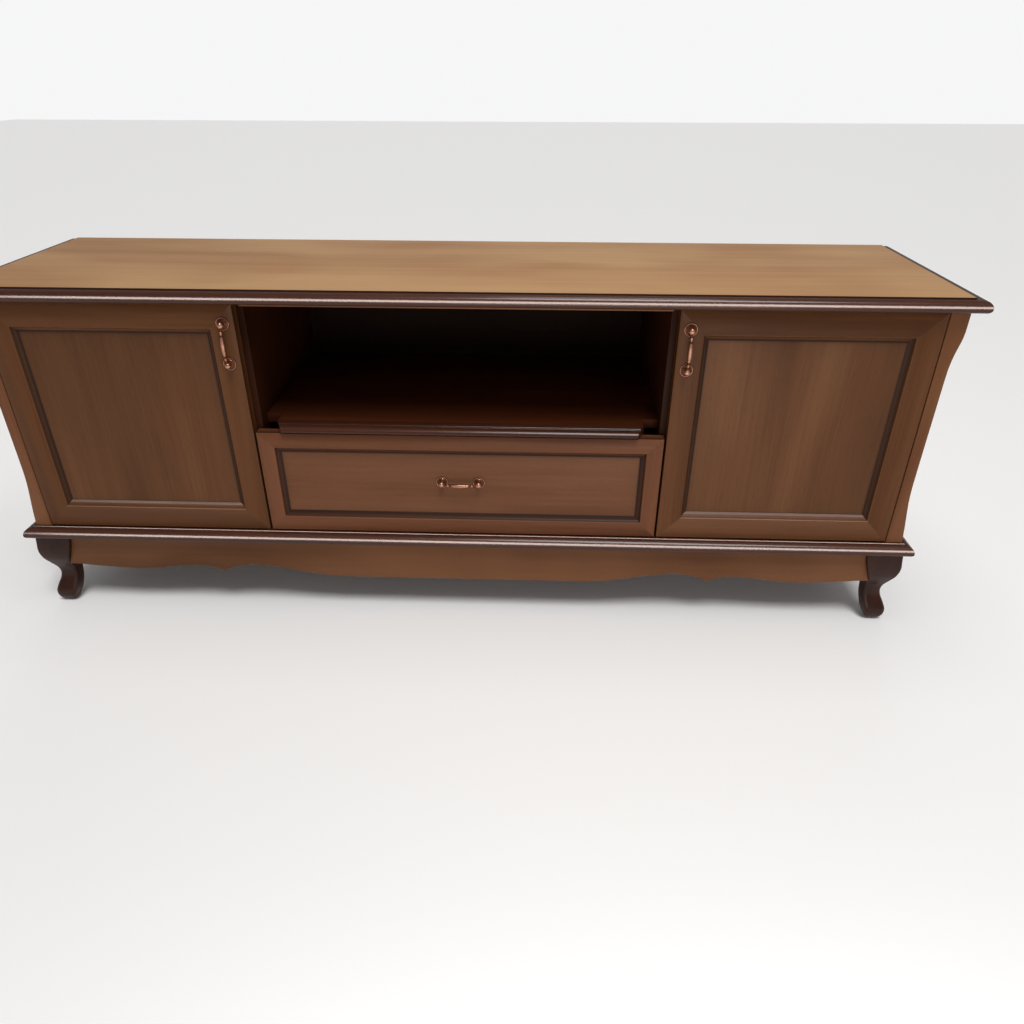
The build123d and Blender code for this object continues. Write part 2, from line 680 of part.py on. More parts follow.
# ============================================================ drawer box and runners
box_front = FRONT + BOARD
box_back = box_front + DRAWER_BOX_LENGTH
box_top = DRAWER_BOX_BOTTOM + DRAWER_BOX_HEIGHT
floor_low = DRAWER_BOX_BOTTOM + DRAWER_FLOOR_LIFT
floor_high = floor_low + DRAWER_FLOOR
inner_half = DRAWER_BOX_HALF - DRAWER_BOARD
groove_half = inner_half + DRAWER_BOARD / 2
groove_front = box_front + DRAWER_BOARD / 2
groove_back = box_back - DRAWER_BOARD / 2


def drawer_wall(name, x_low, x_high, y_low, y_high):
    """One wall of the drawer box, grooved for the floor."""
    with BuildPart() as piece:
        slab(x_low, x_high, y_low, y_high, DRAWER_BOX_BOTTOM, box_top)
        slab(-groove_half, groove_half, groove_front, groove_back, floor_low, floor_high, mode=Mode.SUBTRACT)
    save(piece, name)


drawer_wall("drawer_side_left", -DRAWER_BOX_HALF, -inner_half, box_front, box_back)
drawer_wall("drawer_side_right", inner_half, DRAWER_BOX_HALF, box_front, box_back)
drawer_wall("drawer_box_front", -inner_half, inner_half, box_front, box_front + DRAWER_BOARD)
drawer_wall("drawer_box_back", -inner_half, inner_half, box_back - DRAWER_BOARD, box_back)
board("drawer_floor", -groove_half, groove_half, groove_front, groove_back, floor_low, floor_high)


def channel(side, web_x, mouth_x, height, back_x=None):
    """A rolled steel runner member: a web with a flange above and below, at one side of the drawer."""
    low_x = min(web_x, mouth_x) if back_x is None else min(back_x, mouth_x)
    high_x = max(web_x, mouth_x) if back_x is None else max(back_x, mouth_x)
    runner_front = PARTITION_FRONT + 2.0
    runner_back = runner_front + RUNNER_LENGTH
    web_out = web_x + RUNNER_STEEL
    for x_low, x_high, z_low, z_high in (
        (web_x, web_out, -height / 2, height / 2),
        (low_x, high_x, height / 2 - RUNNER_STEEL, height / 2),
        (low_x, high_x, -height / 2, -height / 2 + RUNNER_STEEL),
    ):
        slab(
            min(side * x_low, side * x_high), max(side * x_low, side * x_high),
            runner_front, runner_back,
            RUNNER_Z + z_low, RUNNER_Z + z_high,
        )


def runner_pair(name, web_x, mouth_x, height, back_x=None):
    """The same member at both sides of the drawer."""
    with BuildPart() as piece:
        for side in (-1, 1):
            channel(side, web_x, mouth_x, height, back_x)
    save(piece, name)


outer_height, middle_height, inner_height = RUNNER_HEIGHTS
runner_pair(
    "runner_outer_members",
    PARTITION_INNER - RUNNER_STEEL, DRAWER_BOX_HALF + OUTER_MOUTH, outer_height, PARTITION_INNER,
)
runner_pair(
    "runner_middle_members",
    DRAWER_BOX_HALF + MIDDLE_WEB, DRAWER_BOX_HALF + MIDDLE_MOUTH,
    middle_height, DRAWER_BOX_HALF + MIDDLE_BACK,
)
runner_pair("runner_inner_members", DRAWER_BOX_HALF, DRAWER_BOX_HALF + INNER_MOUTH, inner_height)
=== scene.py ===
"""Low walnut cabinet on cabriole legs: the visual model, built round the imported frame."""

import json
import math
import random

import bmesh
import bpy
from mathutils import Matrix, Vector

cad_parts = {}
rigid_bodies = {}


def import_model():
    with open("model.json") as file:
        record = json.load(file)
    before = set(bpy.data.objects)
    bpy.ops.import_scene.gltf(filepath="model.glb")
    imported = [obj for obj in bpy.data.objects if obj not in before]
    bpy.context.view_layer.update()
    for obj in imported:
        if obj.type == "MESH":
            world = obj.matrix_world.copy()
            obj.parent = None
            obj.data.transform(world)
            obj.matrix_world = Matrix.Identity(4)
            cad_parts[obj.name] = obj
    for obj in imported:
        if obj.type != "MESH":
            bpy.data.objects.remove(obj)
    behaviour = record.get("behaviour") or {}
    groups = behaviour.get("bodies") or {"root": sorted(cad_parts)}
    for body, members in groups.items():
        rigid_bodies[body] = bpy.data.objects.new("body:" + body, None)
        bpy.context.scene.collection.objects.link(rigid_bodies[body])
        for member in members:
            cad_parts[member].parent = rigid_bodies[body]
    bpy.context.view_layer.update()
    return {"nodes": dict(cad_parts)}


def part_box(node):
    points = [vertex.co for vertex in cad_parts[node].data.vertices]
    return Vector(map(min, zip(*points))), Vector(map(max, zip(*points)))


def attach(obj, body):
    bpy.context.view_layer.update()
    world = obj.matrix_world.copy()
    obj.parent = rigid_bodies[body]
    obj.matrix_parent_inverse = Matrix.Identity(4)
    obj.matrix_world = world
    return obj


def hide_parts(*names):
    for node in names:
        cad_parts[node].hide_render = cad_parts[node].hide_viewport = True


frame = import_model()
MM = 0.001


# ------------------------------------------------------------------ the cabinet's own sizes
def node_box(node):
    """Lowest and highest corner of a node, in millimetres."""
    low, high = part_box(node)
    return Vector(low) / MM, Vector(high) / MM


top_low, top_high = node_box("top_panel")
base_low, base_high = node_box("bottom_panel")
FRONT = base_low.y                      # plane of the doors' faces
BACK = base_high.y
BASE_HALF = base_high.x
TOP_CASE_HALF = 780.0                   # the posts' outer faces, which the top's edge is measured from
TOP_UNDER, TOP_FACE = top_low.z, top_high.z
CASE_BOTTOM = base_high.z
BASE_UNDER = base_low.z
moulding_low, moulding_high = node_box("base_moulding_front")
LEG_CORNER_X, LEG_CORNER_Y = moulding_high.x, -moulding_low.y    # the legs stand in from this corner
SIDES = (("left", -1), ("right", 1))
UP = (0, 0, 1)


# ------------------------------------------------------------------ mesh tools
def arc(start, middle, end, steps):
    """Points along the circle through three points, without the first one."""
    a, b, c = (Vector(p) for p in (start, middle, end))
    ab, ac = b - a, c - a
    cross = 2 * (ab.x * ac.y - ab.y * ac.x)
    centre = a + Vector((
        ac.y * ab.length_squared - ab.y * ac.length_squared,
        ab.x * ac.length_squared - ac.x * ab.length_squared,
    )) / cross
    radius = (a - centre).length
    first = math.atan2(a.y - centre.y, a.x - centre.x)
    turn_middle = (math.atan2(b.y - centre.y, b.x - centre.x) - first) % math.tau
    turn_end = (math.atan2(c.y - centre.y, c.x - centre.x) - first) % math.tau
    if turn_middle > turn_end:
        turn_end -= math.tau
    turns = [first + turn_end * i / steps for i in range(1, steps + 1)]
    return [(centre.x + radius * math.cos(turn), centre.y + radius * math.sin(turn)) for turn in turns]


def smooth_line(points, steps):
    """A Catmull-Rom curve through the points, sampled steps times between each pair."""
    ends = [points[0]] + list(points) + [points[-1]]
    found = [tuple(points[0])]
    for before, start, end, after in zip(ends, ends[1:], ends[2:], ends[3:]):
        for i in range(1, steps + 1):
            t = i / steps
            found.append(tuple(
                0.5 * (
                    2 * s + (e - b) * t + (2 * b - 5 * s + 4 * e - a) * t * t
                    + (3 * s - b - 3 * e + a) * t ** 3
                )
                for b, s, e, a in zip(before, start, end, after)
            ))
    return found


def point_layer(bm, name):
    """The number that every point of the mesh keeps under this name."""
    return bm.verts.layers.float.get(name) or bm.verts.layers.float.new(name)


def bridge(bm, first, second):
    """Faces between two rings with the same number of points."""
    for i in range(len(first)):
        j = (i + 1) % len(first)
        bm.faces.new((first[i], first[j], second[j], second[i]))


def skin_rings(bm, rings):
    """Close a row of rings into a solid."""
    for first, second in zip(rings, rings[1:]):
        bridge(bm, first, second)
    bm.faces.new(rings[0][::-1])
    bm.faces.new(rings[-1])


def round_arris(bm, radius, angle=35.0):
    """Round every edge sharper than the angle, and mark the rounded skin for wear and a painted highlight."""
    worn = point_layer(bm, "worn")
    bmesh.ops.recalc_face_normals(bm, faces=bm.faces)
    sharp = [e for e in bm.edges if len(e.link_faces) == 2 and e.calc_face_angle(0) > math.radians(angle)]
    made = bmesh.ops.bevel(
        bm, geom=sharp, offset=radius, segments=3, profile=0.5, affect="EDGES", clamp_overlap=True,
    )
    for face in made["faces"]:
        for vert in face.verts:
            vert[worn] = 1.0


def finish_piece(name, bm, body, nodes, finish, grain="X", seed=0, smooth_angle=38.0):
    """Turn millimetres into a named piece that rides on a body and stands for its nodes."""
    mesh = bpy.data.meshes.new(name)
    bmesh.ops.recalc_face_normals(bm, faces=bm.faces)
    bm.to_mesh(mesh)
    bm.free()
    mesh.transform(Matrix.Scale(MM, 4))
    piece = bpy.data.objects.new(name, mesh)
    bpy.context.scene.collection.objects.link(piece)
    mesh.materials.append(finish)
    for face in mesh.polygons:
        face.use_smooth = True
    mesh.set_sharp_from_angle(angle=math.radians(smooth_angle))
    lay_grain(mesh, grain, seed)
    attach(piece, body)
    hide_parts(*nodes)


# for each way the grain can run: the axes along it, across it and through the plank
GRAIN_AXES = {"X": (0, 1, 2), "Y": (1, 0, 2), "Z": (2, 0, 1)}
LOG_HALF = 4.0                  # metres of wood to each side, out of which a seed picks its own place


def lay_grain(mesh, grain, seed):
    """Store where each point lies in its plank, and see that every wood mesh has its layers of glaze and
    painted shade, and of wear and painted highlight.
    """
    chance = random.Random(seed)
    shift = [chance.uniform(-LOG_HALF, LOG_HALF) for _ in range(3)]
    along, across, through = GRAIN_AXES[grain]
    plank = mesh.attributes.new("plank", "FLOAT_VECTOR", "POINT")
    for place, vert in zip(plank.data, mesh.vertices):
        place.vector = (vert.co[along] + shift[0], vert.co[across] + shift[1], vert.co[through] + shift[2])
    for shade in ("worn", "glaze"):
        if shade not in mesh.attributes:
            mesh.attributes.new(shade, "FLOAT", "POINT")


def sawn_board(low, high, radius=0.9):
    """A rectangular board with softened edges."""
    bm = bmesh.new()
    bmesh.ops.create_cube(bm, size=1.0)
    size = Vector(high) - Vector(low)
    centre = (Vector(high) + Vector(low)) / 2
    for vert in bm.verts:
        vert.co = Vector((vert.co.x * size.x, vert.co.y * size.y, vert.co.z * size.z)) + centre
    round_arris(bm, radius)
    return bm


def board_for(node, body, finish, grain, seed, radius=0.9):
    """A softened board in the place of a plain node."""
    low, high = node_box(node)
    finish_piece(f"{node}_wood", sawn_board(low, high, radius), body, [node], finish, grain, seed)


def run_section(bm, section, ends, rise):
    """Sweep a closed section between two ends. A section point is (across, rise); each end is the
    run's edge there and the way across at that end, so a diagonal way across makes a mitre."""
    rings = [
        [bm.verts.new(Vector(edge) + Vector(across) * out + Vector(rise) * up) for out, up in section]
        for edge, across in ends
    ]
    skin_rings(bm, rings)


QUIRK_SHADE = 0.55              # how much painted shade darkens a moulding's quirk


def paint_quirk_shade(bm, section, quirk):
    """Paint shade into the points of a swept section that lie in its quirk, ring by ring."""
    glaze = point_layer(bm, "glaze")
    for index, vert in enumerate(bm.verts):
        vert[glaze] = QUIRK_SHADE if index % len(section) in quirk else 0.0


def shaped_board(outline, low_y, high_y, radius, axis="Y"):
    """A board sawn to an outline, with its rims rounded. The outline is in X, Z or, sideways, Y, Z."""
    bm = bmesh.new()
    if axis == "Y":
        rim = [bm.verts.new((x, low_y, z)) for x, z in outline]
        way = Vector((0, high_y - low_y, 0))
    else:
        rim = [bm.verts.new((low_y, y, z)) for y, z in outline]
        way = Vector((high_y - low_y, 0, 0))
    face = bm.faces.new(rim)
    grown = bmesh.ops.extrude_face_region(bm, geom=[face])
    bmesh.ops.translate(bm, verts=[g for g in grown["geom"] if isinstance(g, bmesh.types.BMVert)], vec=way)
    round_arris(bm, radius, angle=50.0)
    return bm


# ------------------------------------------------------------------ shader tools
def linear(hex_colour):
    """sRGB hex to the linear colour that a shader takes."""
    channels = [int(hex_colour[i:i + 2], 16) / 255 for i in (1, 3, 5)]
    return [c / 12.92 if c <= 0.04045 else ((c + 0.055) / 1.055) ** 2.4 for c in channels] + [1.0]


def add(tree, kind, inputs=None, stops=None, **settings):
    """Add a node. Settings are its properties; inputs are its sockets, by name or number, each given
    a value or the socket that feeds it; stops are the (place, colour) pairs of a ramp."""
    node = tree.nodes.new(kind)
    for key, value in settings.items():
        setattr(node, key, value)
    for key, value in (inputs or {}).items():
        if isinstance(value, bpy.types.NodeSocket):
            tree.links.new(value, node.inputs[key])
        else:
            node.inputs[key].default_value = value
    if stops:
        elements = node.color_ramp.elements
        while len(elements) < len(stops):
            elements.new(0.5)
        for element, (place, colour) in zip(elements, stops):
            element.position = place
            element.color = linear(colour)
    return node


def new_material(name):
    """An empty node material, its tree and its Principled shader."""
    material = bpy.data.materials.new(name)
    material.use_nodes = True
    return material, material.node_tree, material.node_tree.nodes["Principled BSDF"]


def drawn_out(tree, place, along_mm, across_mm, detail=3.0, roughness=0.55):
    """Noise drawn out along a plank: its features are about along_mm long and across_mm wide."""
    scale = (1000.0 / along_mm, 1000.0 / across_mm, 1000.0 / across_mm)
    laid = add(tree, "ShaderNodeMapping", {"Vector": place, "Scale": scale}).outputs["Vector"]
    noise = {"Vector": laid, "Scale": 1.0, "Detail": detail, "Roughness": roughness}
    return add(tree, "ShaderNodeTexNoise", noise).outputs["Fac"]


def lacquered_wood(name, shades, pore_glaze_and_shade_colour, wear_and_highlight_colour, figure_mm, contrast, roughness, gloss):
    """Wood, sanded, stained and sprayed with lacquer. Slow figure and fine streaks run with the plank
    and open pores lie in it; dark glaze and painted shade lie in the quirks, corners and gaps; arrises are
    rubbed lighter, as wear and a painted highlight.
    Stain evens the wood out, so the contrast between its three shades is low."""
    material, tree, shader = new_material(name)
    plank = add(tree, "ShaderNodeAttribute", attribute_name="plank").outputs["Vector"]
    glaze = add(tree, "ShaderNodeAttribute", attribute_name="glaze").outputs["Fac"]
    worn = add(tree, "ShaderNodeAttribute", attribute_name="worn").outputs["Fac"]

    # the grain wanders a few millimetres to either side over half a metre
    wander = drawn_out(tree, plank, 520.0, 210.0, 1.0)
    wander = add(tree, "ShaderNodeMath", {0: wander, 1: 0.035}, operation="MULTIPLY").outputs[0]
    sideways = add(tree, "ShaderNodeCombineXYZ", {"Y": wander}).outputs["Vector"]
    bent = add(tree, "ShaderNodeVectorMath", {0: plank, 1: sideways}, operation="ADD").outputs["Vector"]
    figure = drawn_out(tree, bent, figure_mm[0], figure_mm[1], 3.0, 0.5)
    streaks = drawn_out(tree, bent, 340.0, 6.0, 2.0, 0.5)
    fibres = drawn_out(tree, bent, 90.0, 1.6, 2.0)
    pores = drawn_out(tree, bent, 16.0, 1.0, 1.0)
    clouds = drawn_out(tree, plank, 420.0, 240.0, 2.0)

    slow = add(tree, "ShaderNodeMath", {0: figure, 1: 0.66, 2: 0.17}, operation="MULTIPLY_ADD").outputs[0]
    fine = add(tree, "ShaderNodeMath", {0: streaks, 1: 0.18, 2: -0.09}, operation="MULTIPLY_ADD").outputs[0]
    hair = add(tree, "ShaderNodeMath", {0: fibres, 1: 0.08, 2: -0.04}, operation="MULTIPLY_ADD").outputs[0]
    tone = add(tree, "ShaderNodeMath", {0: slow, 1: fine}, operation="ADD").outputs[0]
    tone = add(tree, "ShaderNodeMath", {0: tone, 1: hair}, operation="ADD").outputs[0]
    half = 0.16 / contrast                  # of the ramp, between its middle shade and its outer ones
    wood = add(
        tree, "ShaderNodeValToRGB", {"Fac": tone},
        stops=[(0.5 - half, shades[0]), (0.5, shades[1]), (0.5 + half, shades[2])],
    ).outputs["Color"]

    # masks: (how much, colour laid over the wood)
    cloudy = {"Value": clouds, "From Min": 0.42, "From Max": 0.72, "To Max": 0.35}
    blotch = add(tree, "ShaderNodeMapRange", cloudy)
    open_pores = {"Value": pores, "From Min": 0.62, "From Max": 0.72, "To Max": 0.2}
    pore_mark = add(tree, "ShaderNodeMapRange", open_pores)
    uneven = {"Value": streaks, "From Min": 0.3, "From Max": 0.7, "To Min": 0.86, "To Max": 1.0}
    uneven = add(tree, "ShaderNodeMapRange", uneven).outputs["Result"]
    # glaze and painted shade, laid over the wood where the mesh marks quirks, corners and gaps
    glaze_and_shade_amount = add(tree, "ShaderNodeMath", {0: glaze, 1: uneven}, operation="MULTIPLY")
    patchy = {"Value": clouds, "From Min": 0.40, "From Max": 0.62, "To Min": 0.12, "To Max": 0.6}
    patchy = add(tree, "ShaderNodeMapRange", patchy).outputs["Result"]
    # wear and a painted highlight on the arrises, in patches
    rubbed = add(tree, "ShaderNodeMath", {0: worn, 1: patchy}, operation="MULTIPLY")
    for amount, colour in (
        (blotch.outputs["Result"], shades[0]), (pore_mark.outputs["Result"], pore_glaze_and_shade_colour),
        (glaze_and_shade_amount.outputs[0], pore_glaze_and_shade_colour), (rubbed.outputs[0], wear_and_highlight_colour),
    ):
        laid_over = {0: amount, 6: wood, 7: linear(colour)}          # factor, first and second colour
        wood = add(tree, "ShaderNodeMix", laid_over, data_type="RGBA").outputs[2]
    tree.links.new(wood, shader.inputs["Base Color"])

    dull, bright = roughness + 0.05, roughness - 0.05
    sheen_lines = {"Value": streaks, "From Min": 0.3, "From Max": 0.7, "To Min": dull, "To Max": bright}
    tree.links.new(add(tree, "ShaderNodeMapRange", sheen_lines).outputs["Result"], shader.inputs["Roughness"])
    relief = add(tree, "ShaderNodeMath", {0: fibres, 1: 0.4}, operation="MULTIPLY").outputs[0]
    pitted = {0: relief, 1: pore_mark.outputs["Result"]}
    relief = add(tree, "ShaderNodeMath", pitted, operation="SUBTRACT").outputs[0]
    bump = add(tree, "ShaderNodeBump", {"Height": relief, "Strength": 0.22, "Distance": 0.0003})
    tree.links.new(bump.outputs["Normal"], shader.inputs["Normal"])
    shader.inputs["IOR"].default_value = 1.5
    shader.inputs["Specular IOR Level"].default_value = gloss["specular"]
    shader.inputs["Coat Weight"].default_value = gloss["coat"]
    shader.inputs["Coat Roughness"].default_value = gloss["coat_roughness"]
    return material


# how much each lacquer shines: its surface, and the clear coat over it
SATIN = {"specular": 0.13, "coat": 0.0, "coat_roughness": 0.3}
INSIDE = {"specular": 0.06, "coat": 0.0, "coat_roughness": 0.3}
FULL_GLOSS = {"specular": 0.06, "coat": 0.55, "coat_roughness": 0.18}
# the top's stain is lighter than the fronts' as painted light, for the light that falls on it from above
walnut_top_lit = lacquered_wood(
    "walnut veneer, light stain, satin lacquer",
    ("#89603f", "#9d724c", "#ac815a"), "#5a3a22", "#c09a6e", (1500.0, 52.0), 0.8, 0.44, SATIN,
)
walnut_frame = lacquered_wood(
    "walnut solid, brown stain, satin lacquer",
    ("#57321c", "#6b412a", "#7c5037"), "#28160e", "#92643f", (800.0, 46.0), 0.8, 0.40, SATIN,
)
walnut_panel = lacquered_wood(
    "walnut veneer, brown stain, satin lacquer",
    ("#5a3721", "#6e462f", "#7e553b"), "#1d100a", "#805a40", (640.0, 95.0), 0.8, 0.42, SATIN,
)
# darker copies of the frame and panel finishes for the doors, as painted shade: the doors take less light
# than the drawer
walnut_frame_in_door_shade = lacquered_wood(
    "walnut solid, dark brown stain, door frame",
    ("#4a2a14", "#5d381d", "#6e462b"), "#2a160c", "#8a5d3c", (800.0, 46.0), 0.8, 0.40, SATIN,
)
walnut_panel_in_door_shade = lacquered_wood(
    "walnut veneer, dark brown stain, door panel",
    ("#51321c", "#664128", "#765033"), "#1a0e08", "#7a563c", (640.0, 95.0), 0.8, 0.42, SATIN,
)
walnut_moulding = lacquered_wood(
    "walnut moulding, red brown stain, gloss lacquer",
    ("#321810", "#422114", "#522d1d"), "#1c0c07", "#764833", (900.0, 18.0), 0.7, 0.36, FULL_GLOSS,
)
# a darker copy of the frame's finish, as painted shade under the base moulding
walnut_apron_shaded = lacquered_wood(
    "walnut solid, brown stain, sawn apron",
    ("#472a13", "#58351d", "#684128"), "#1d0f08", "#84583a", (800.0, 46.0), 0.8, 0.42, SATIN,
)
walnut_leg = lacquered_wood(
    "walnut solid, red brown stain, carved leg",
    ("#27130b", "#341b12", "#412418"), "#150905", "#633d2e", (400.0, 26.0), 0.8, 0.36,
    {"specular": 0.12, "coat": 0.2, "coat_roughness": 0.22},
)
# red brown stain, darkened further as painted shade for the niche and the boards set back inside
walnut_carcass_shaded = lacquered_wood(
    "walnut veneer, red brown stain, inside the case",
    ("#34160b", "#44200f", "#532a15"), "#120703", "#3f2010", (700.0, 60.0), 0.8, 0.40, INSIDE,
)
# dark brown paint, darkened further as painted shade for the back of the niche
back_board_shaded = lacquered_wood(
    "hardboard, dark brown painted face",
    ("#1d120c", "#251710", "#2d1d15"), "#0d0806", "#2a1c16", (90.0, 80.0), 0.6, 0.6,
    {"specular": 0.05, "coat": 0.0, "coat_roughness": 0.5},
)
drawer_board = lacquered_wood(
    "birch drawer board, clear lacquer",
    ("#b3936a", "#c4a57c", "#d2b58e"), "#8b6b48", "#d8c19c", (900.0, 30.0), 0.8, 0.45, SATIN,
)

# Zinc casting, copper plated, darkened and relieved: near black in the hollows, warm where rubbed, with a
# painted highlight on the rubbed parts.
antique_copper, tree, shader = new_material("zinc casting, antique copper plate")
place = add(tree, "ShaderNodeTexCoord").outputs["Object"]
cast_skin = {"Vector": place, "Scale": 420.0, "Detail": 4.0, "Roughness": 0.6}      # patches of about 2.4 mm
mottle = add(tree, "ShaderNodeTexNoise", cast_skin).outputs["Fac"]
rub_and_highlight = add(tree, "ShaderNodeAttribute", attribute_name="worn").outputs["Fac"]
level = add(tree, "ShaderNodeMath", {0: mottle, 1: 0.5}, operation="MULTIPLY").outputs[0]
level = add(tree, "ShaderNodeMath", {0: rub_and_highlight, 1: 0.62, 2: level}, operation="MULTIPLY_ADD").outputs[0]
COPPER = [(0.22, "#2b1810"), (0.55, "#7c4c36"), (0.92, "#c8937a")]
plate = add(tree, "ShaderNodeValToRGB", {"Fac": level}, stops=COPPER)
tree.links.new(plate.outputs["Color"], shader.inputs["Base Color"])
polish = {"Value": level, "From Min": 0.2, "From Max": 0.9, "To Min": 0.58, "To Max": 0.36}
tree.links.new(add(tree, "ShaderNodeMapRange", polish).outputs["Result"], shader.inputs["Roughness"])
bump = add(tree, "ShaderNodeBump", {"Height": mottle, "Strength": 0.2, "Distance": 0.0002})
tree.links.new(bump.outputs["Normal"], shader.inputs["Normal"])
shader.inputs["Metallic"].default_value = 1.0


def drawn_metal(name, low, high, roughness):
    """Rolled or turned metal, whose tool leaves fine lines that vary the shine. They are drawn a
    millimetre apart, which is coarser than the real ones, so that they show."""
    material, tree, shader = new_material(name)
    place = add(tree, "ShaderNodeTexCoord").outputs["Object"]
    parts = add(tree, "ShaderNodeSeparateXYZ", {"Vector": place}).outputs
    turned = add(tree, "ShaderNodeCombineXYZ", {"X": parts["Y"], "Y": parts["X"], "Z": parts["Z"]})
    lines = drawn_out(tree, turned.outputs["Vector"], 60.0, 1.0, 2.0)
    shade = add(tree, "ShaderNodeValToRGB", {"Fac": lines}, stops=[(0.3, low), (0.7, high)])
    tree.links.new(shade.outputs["Color"], shader.inputs["Base Color"])
    dull, bright = roughness + 0.08, roughness - 0.06
    shine = {"Value": lines, "From Min": 0.3, "From Max": 0.7, "To Min": dull, "To Max": bright}
    tree.links.new(add(tree, "ShaderNodeMapRange", shine).outputs["Result"], shader.inputs["Roughness"])
    bump = add(tree, "ShaderNodeBump", {"Height": lines, "Strength": 0.1, "Distance": 0.0001})
    tree.links.new(bump.outputs["Normal"], shader.inputs["Normal"])
    shader.inputs["Metallic"].default_value = 1.0
    return material


zinc_steel = drawn_metal("steel strip, zinc plated", "#8f9396", "#c6c9cb", 0.34)
turned_brass = drawn_metal("brass, turned", "#a98446", "#d2b06a", 0.3)

# ABS, injection moulded in a spark-eroded mould, which leaves a fine even grit and a dull shine.
catch_plastic, tree, shader = new_material("ABS, brown, moulded")
place = add(tree, "ShaderNodeTexCoord").outputs["Object"]
spark_grit = {"Vector": place, "Scale": 1400.0, "Detail": 2.0}      # grains of about 0.7 mm
grit = add(tree, "ShaderNodeTexNoise", spark_grit).outputs["Fac"]
shade = add(tree, "ShaderNodeValToRGB", {"Fac": grit}, stops=[(0.35, "#24160f"), (0.65, "#33211a")])
tree.links.new(shade.outputs["Color"], shader.inputs["Base Color"])
bump = add(tree, "ShaderNodeBump", {"Height": grit, "Strength": 0.15, "Distance": 0.0002})
tree.links.new(bump.outputs["Normal"], shader.inputs["Normal"])
shader.inputs["Roughness"].default_value = 0.48

for node, finish in (
    ("pivot_plates", zinc_steel), ("shelf_pins", zinc_steel), ("runner_outer_members", zinc_steel),
    ("runner_middle_members", zinc_steel), ("runner_inner_members", zinc_steel),
    ("left_door_strike", zinc_steel), ("right_door_strike", zinc_steel),
    ("left_door_bushes", turned_brass), ("right_door_bushes", turned_brass), ("door_catches", catch_plastic),
):
    for material_slot in frame["nodes"][node].material_slots:
        material_slot.material = finish


# ------------------------------------------------------------------ top and mouldings
def ovolo(crown_start, crown_middle, outermost, nose_middle, under):
    """The round of a moulding: a quarter round that turns under into a small nose."""
    return arc(crown_start, crown_middle, outermost, 9) + arc(outermost, nose_middle, under, 7)


# Sections are (outwards, height). The top board has a quirk and a flat as far as its moulding.
EDGE_WIDTH = top_high.x - TOP_CASE_HALF
top_edge_section = [
    (0, TOP_UNDER), (0, TOP_FACE - 0.6), (0.5, TOP_FACE - 0.5), (0.9, TOP_FACE - 1.2),
    (1.2, TOP_FACE - 2.8), (1.6, TOP_FACE - 3.0), (2.4, TOP_FACE - 2.3),
    (EDGE_WIDTH, TOP_FACE - 2.0), (EDGE_WIDTH, TOP_UNDER),
]
top_section = [(EDGE_WIDTH, TOP_UNDER), (EDGE_WIDTH, TOP_FACE - 2.05)]
top_section += ovolo(top_section[-1], (16.78, 584.78), (20.0, 577.0), (17.95, 572.05), (13.0, TOP_UNDER))
base_section = [
    (0, BASE_UNDER), (0, CASE_BOTTOM), (2.1, CASE_BOTTOM), (2.5, CASE_BOTTOM - 0.4),
    (2.8, CASE_BOTTOM - 1.5), (3.1, CASE_BOTTOM - 1.8), (3.8, CASE_BOTTOM - 1.2),
]
base_section += ovolo(base_section[-1], (14.04, 161.22), (17.7, 152.4), (16.48, 148.55), (13.0, BASE_UNDER))
# the points of a section that lie in its quirk, where shade is painted
TOP_EDGE_QUIRK = range(3, 7)
BASE_QUIRK = range(4, 7)
MOULDING_CREASE = 30.0          # degrees, past which a moulding's arris stays crisp


def front_run(half):
    """The front edge, mitred at both corners."""
    return ((-half, FRONT, 0), (-1, -1, 0)), ((half, FRONT, 0), (1, -1, 0))


def side_run(half, side):
    """One side's edge, from its mitre to a square end at the back."""
    return ((side * half, FRONT, 0), (side, -1, 0)), ((side * half, BACK, 0), (side, 0, 0))


def lay_moulding(node, section, run, quirk, grain, seed):
    """One length of a moulding on the case, in the place of its node."""
    bm = bmesh.new()
    run_section(bm, section, run, UP)
    # the quirk gets painted shade
    paint_quirk_shade(bm, section, quirk)
    finish_piece(
        f"{node}_wood", bm, "case", [node], walnut_moulding, grain, seed, MOULDING_CREASE,
    )


for level, section, half, quirk in (
    ("top", top_section, TOP_CASE_HALF, ()), ("base", base_section, BASE_HALF, BASE_QUIRK),
):
    lay_moulding(f"{level}_moulding_front", section, front_run(half), quirk, "X", 11)
    for side_name, side in SIDES:
        lay_moulding(f"{level}_moulding_{side_name}", section, side_run(half, side), quirk, "Y", 12 + side)

top_board = sawn_board((-TOP_CASE_HALF, FRONT, TOP_UNDER), (TOP_CASE_HALF, BACK, TOP_FACE), 0.5)
finish_piece("top_panel_wood", top_board, "case", ["top_panel"], walnut_top_lit, "X", 3)
top_edge = bmesh.new()
run_section(top_edge, top_edge_section, front_run(TOP_CASE_HALF), UP)
for side_name, side in SIDES:
    run_section(top_edge, top_edge_section, side_run(TOP_CASE_HALF, side), UP)
# the quirk along the top's edge gets painted shade
paint_quirk_shade(top_edge, top_edge_section, TOP_EDGE_QUIRK)
finish_piece(
    "top_panel_edge", top_edge, "case", ["top_panel"], walnut_moulding, "X", 5,
    MOULDING_CREASE,
)
board_for("bottom_panel", "case", walnut_carcass_shaded, "X", 4, 0.5)

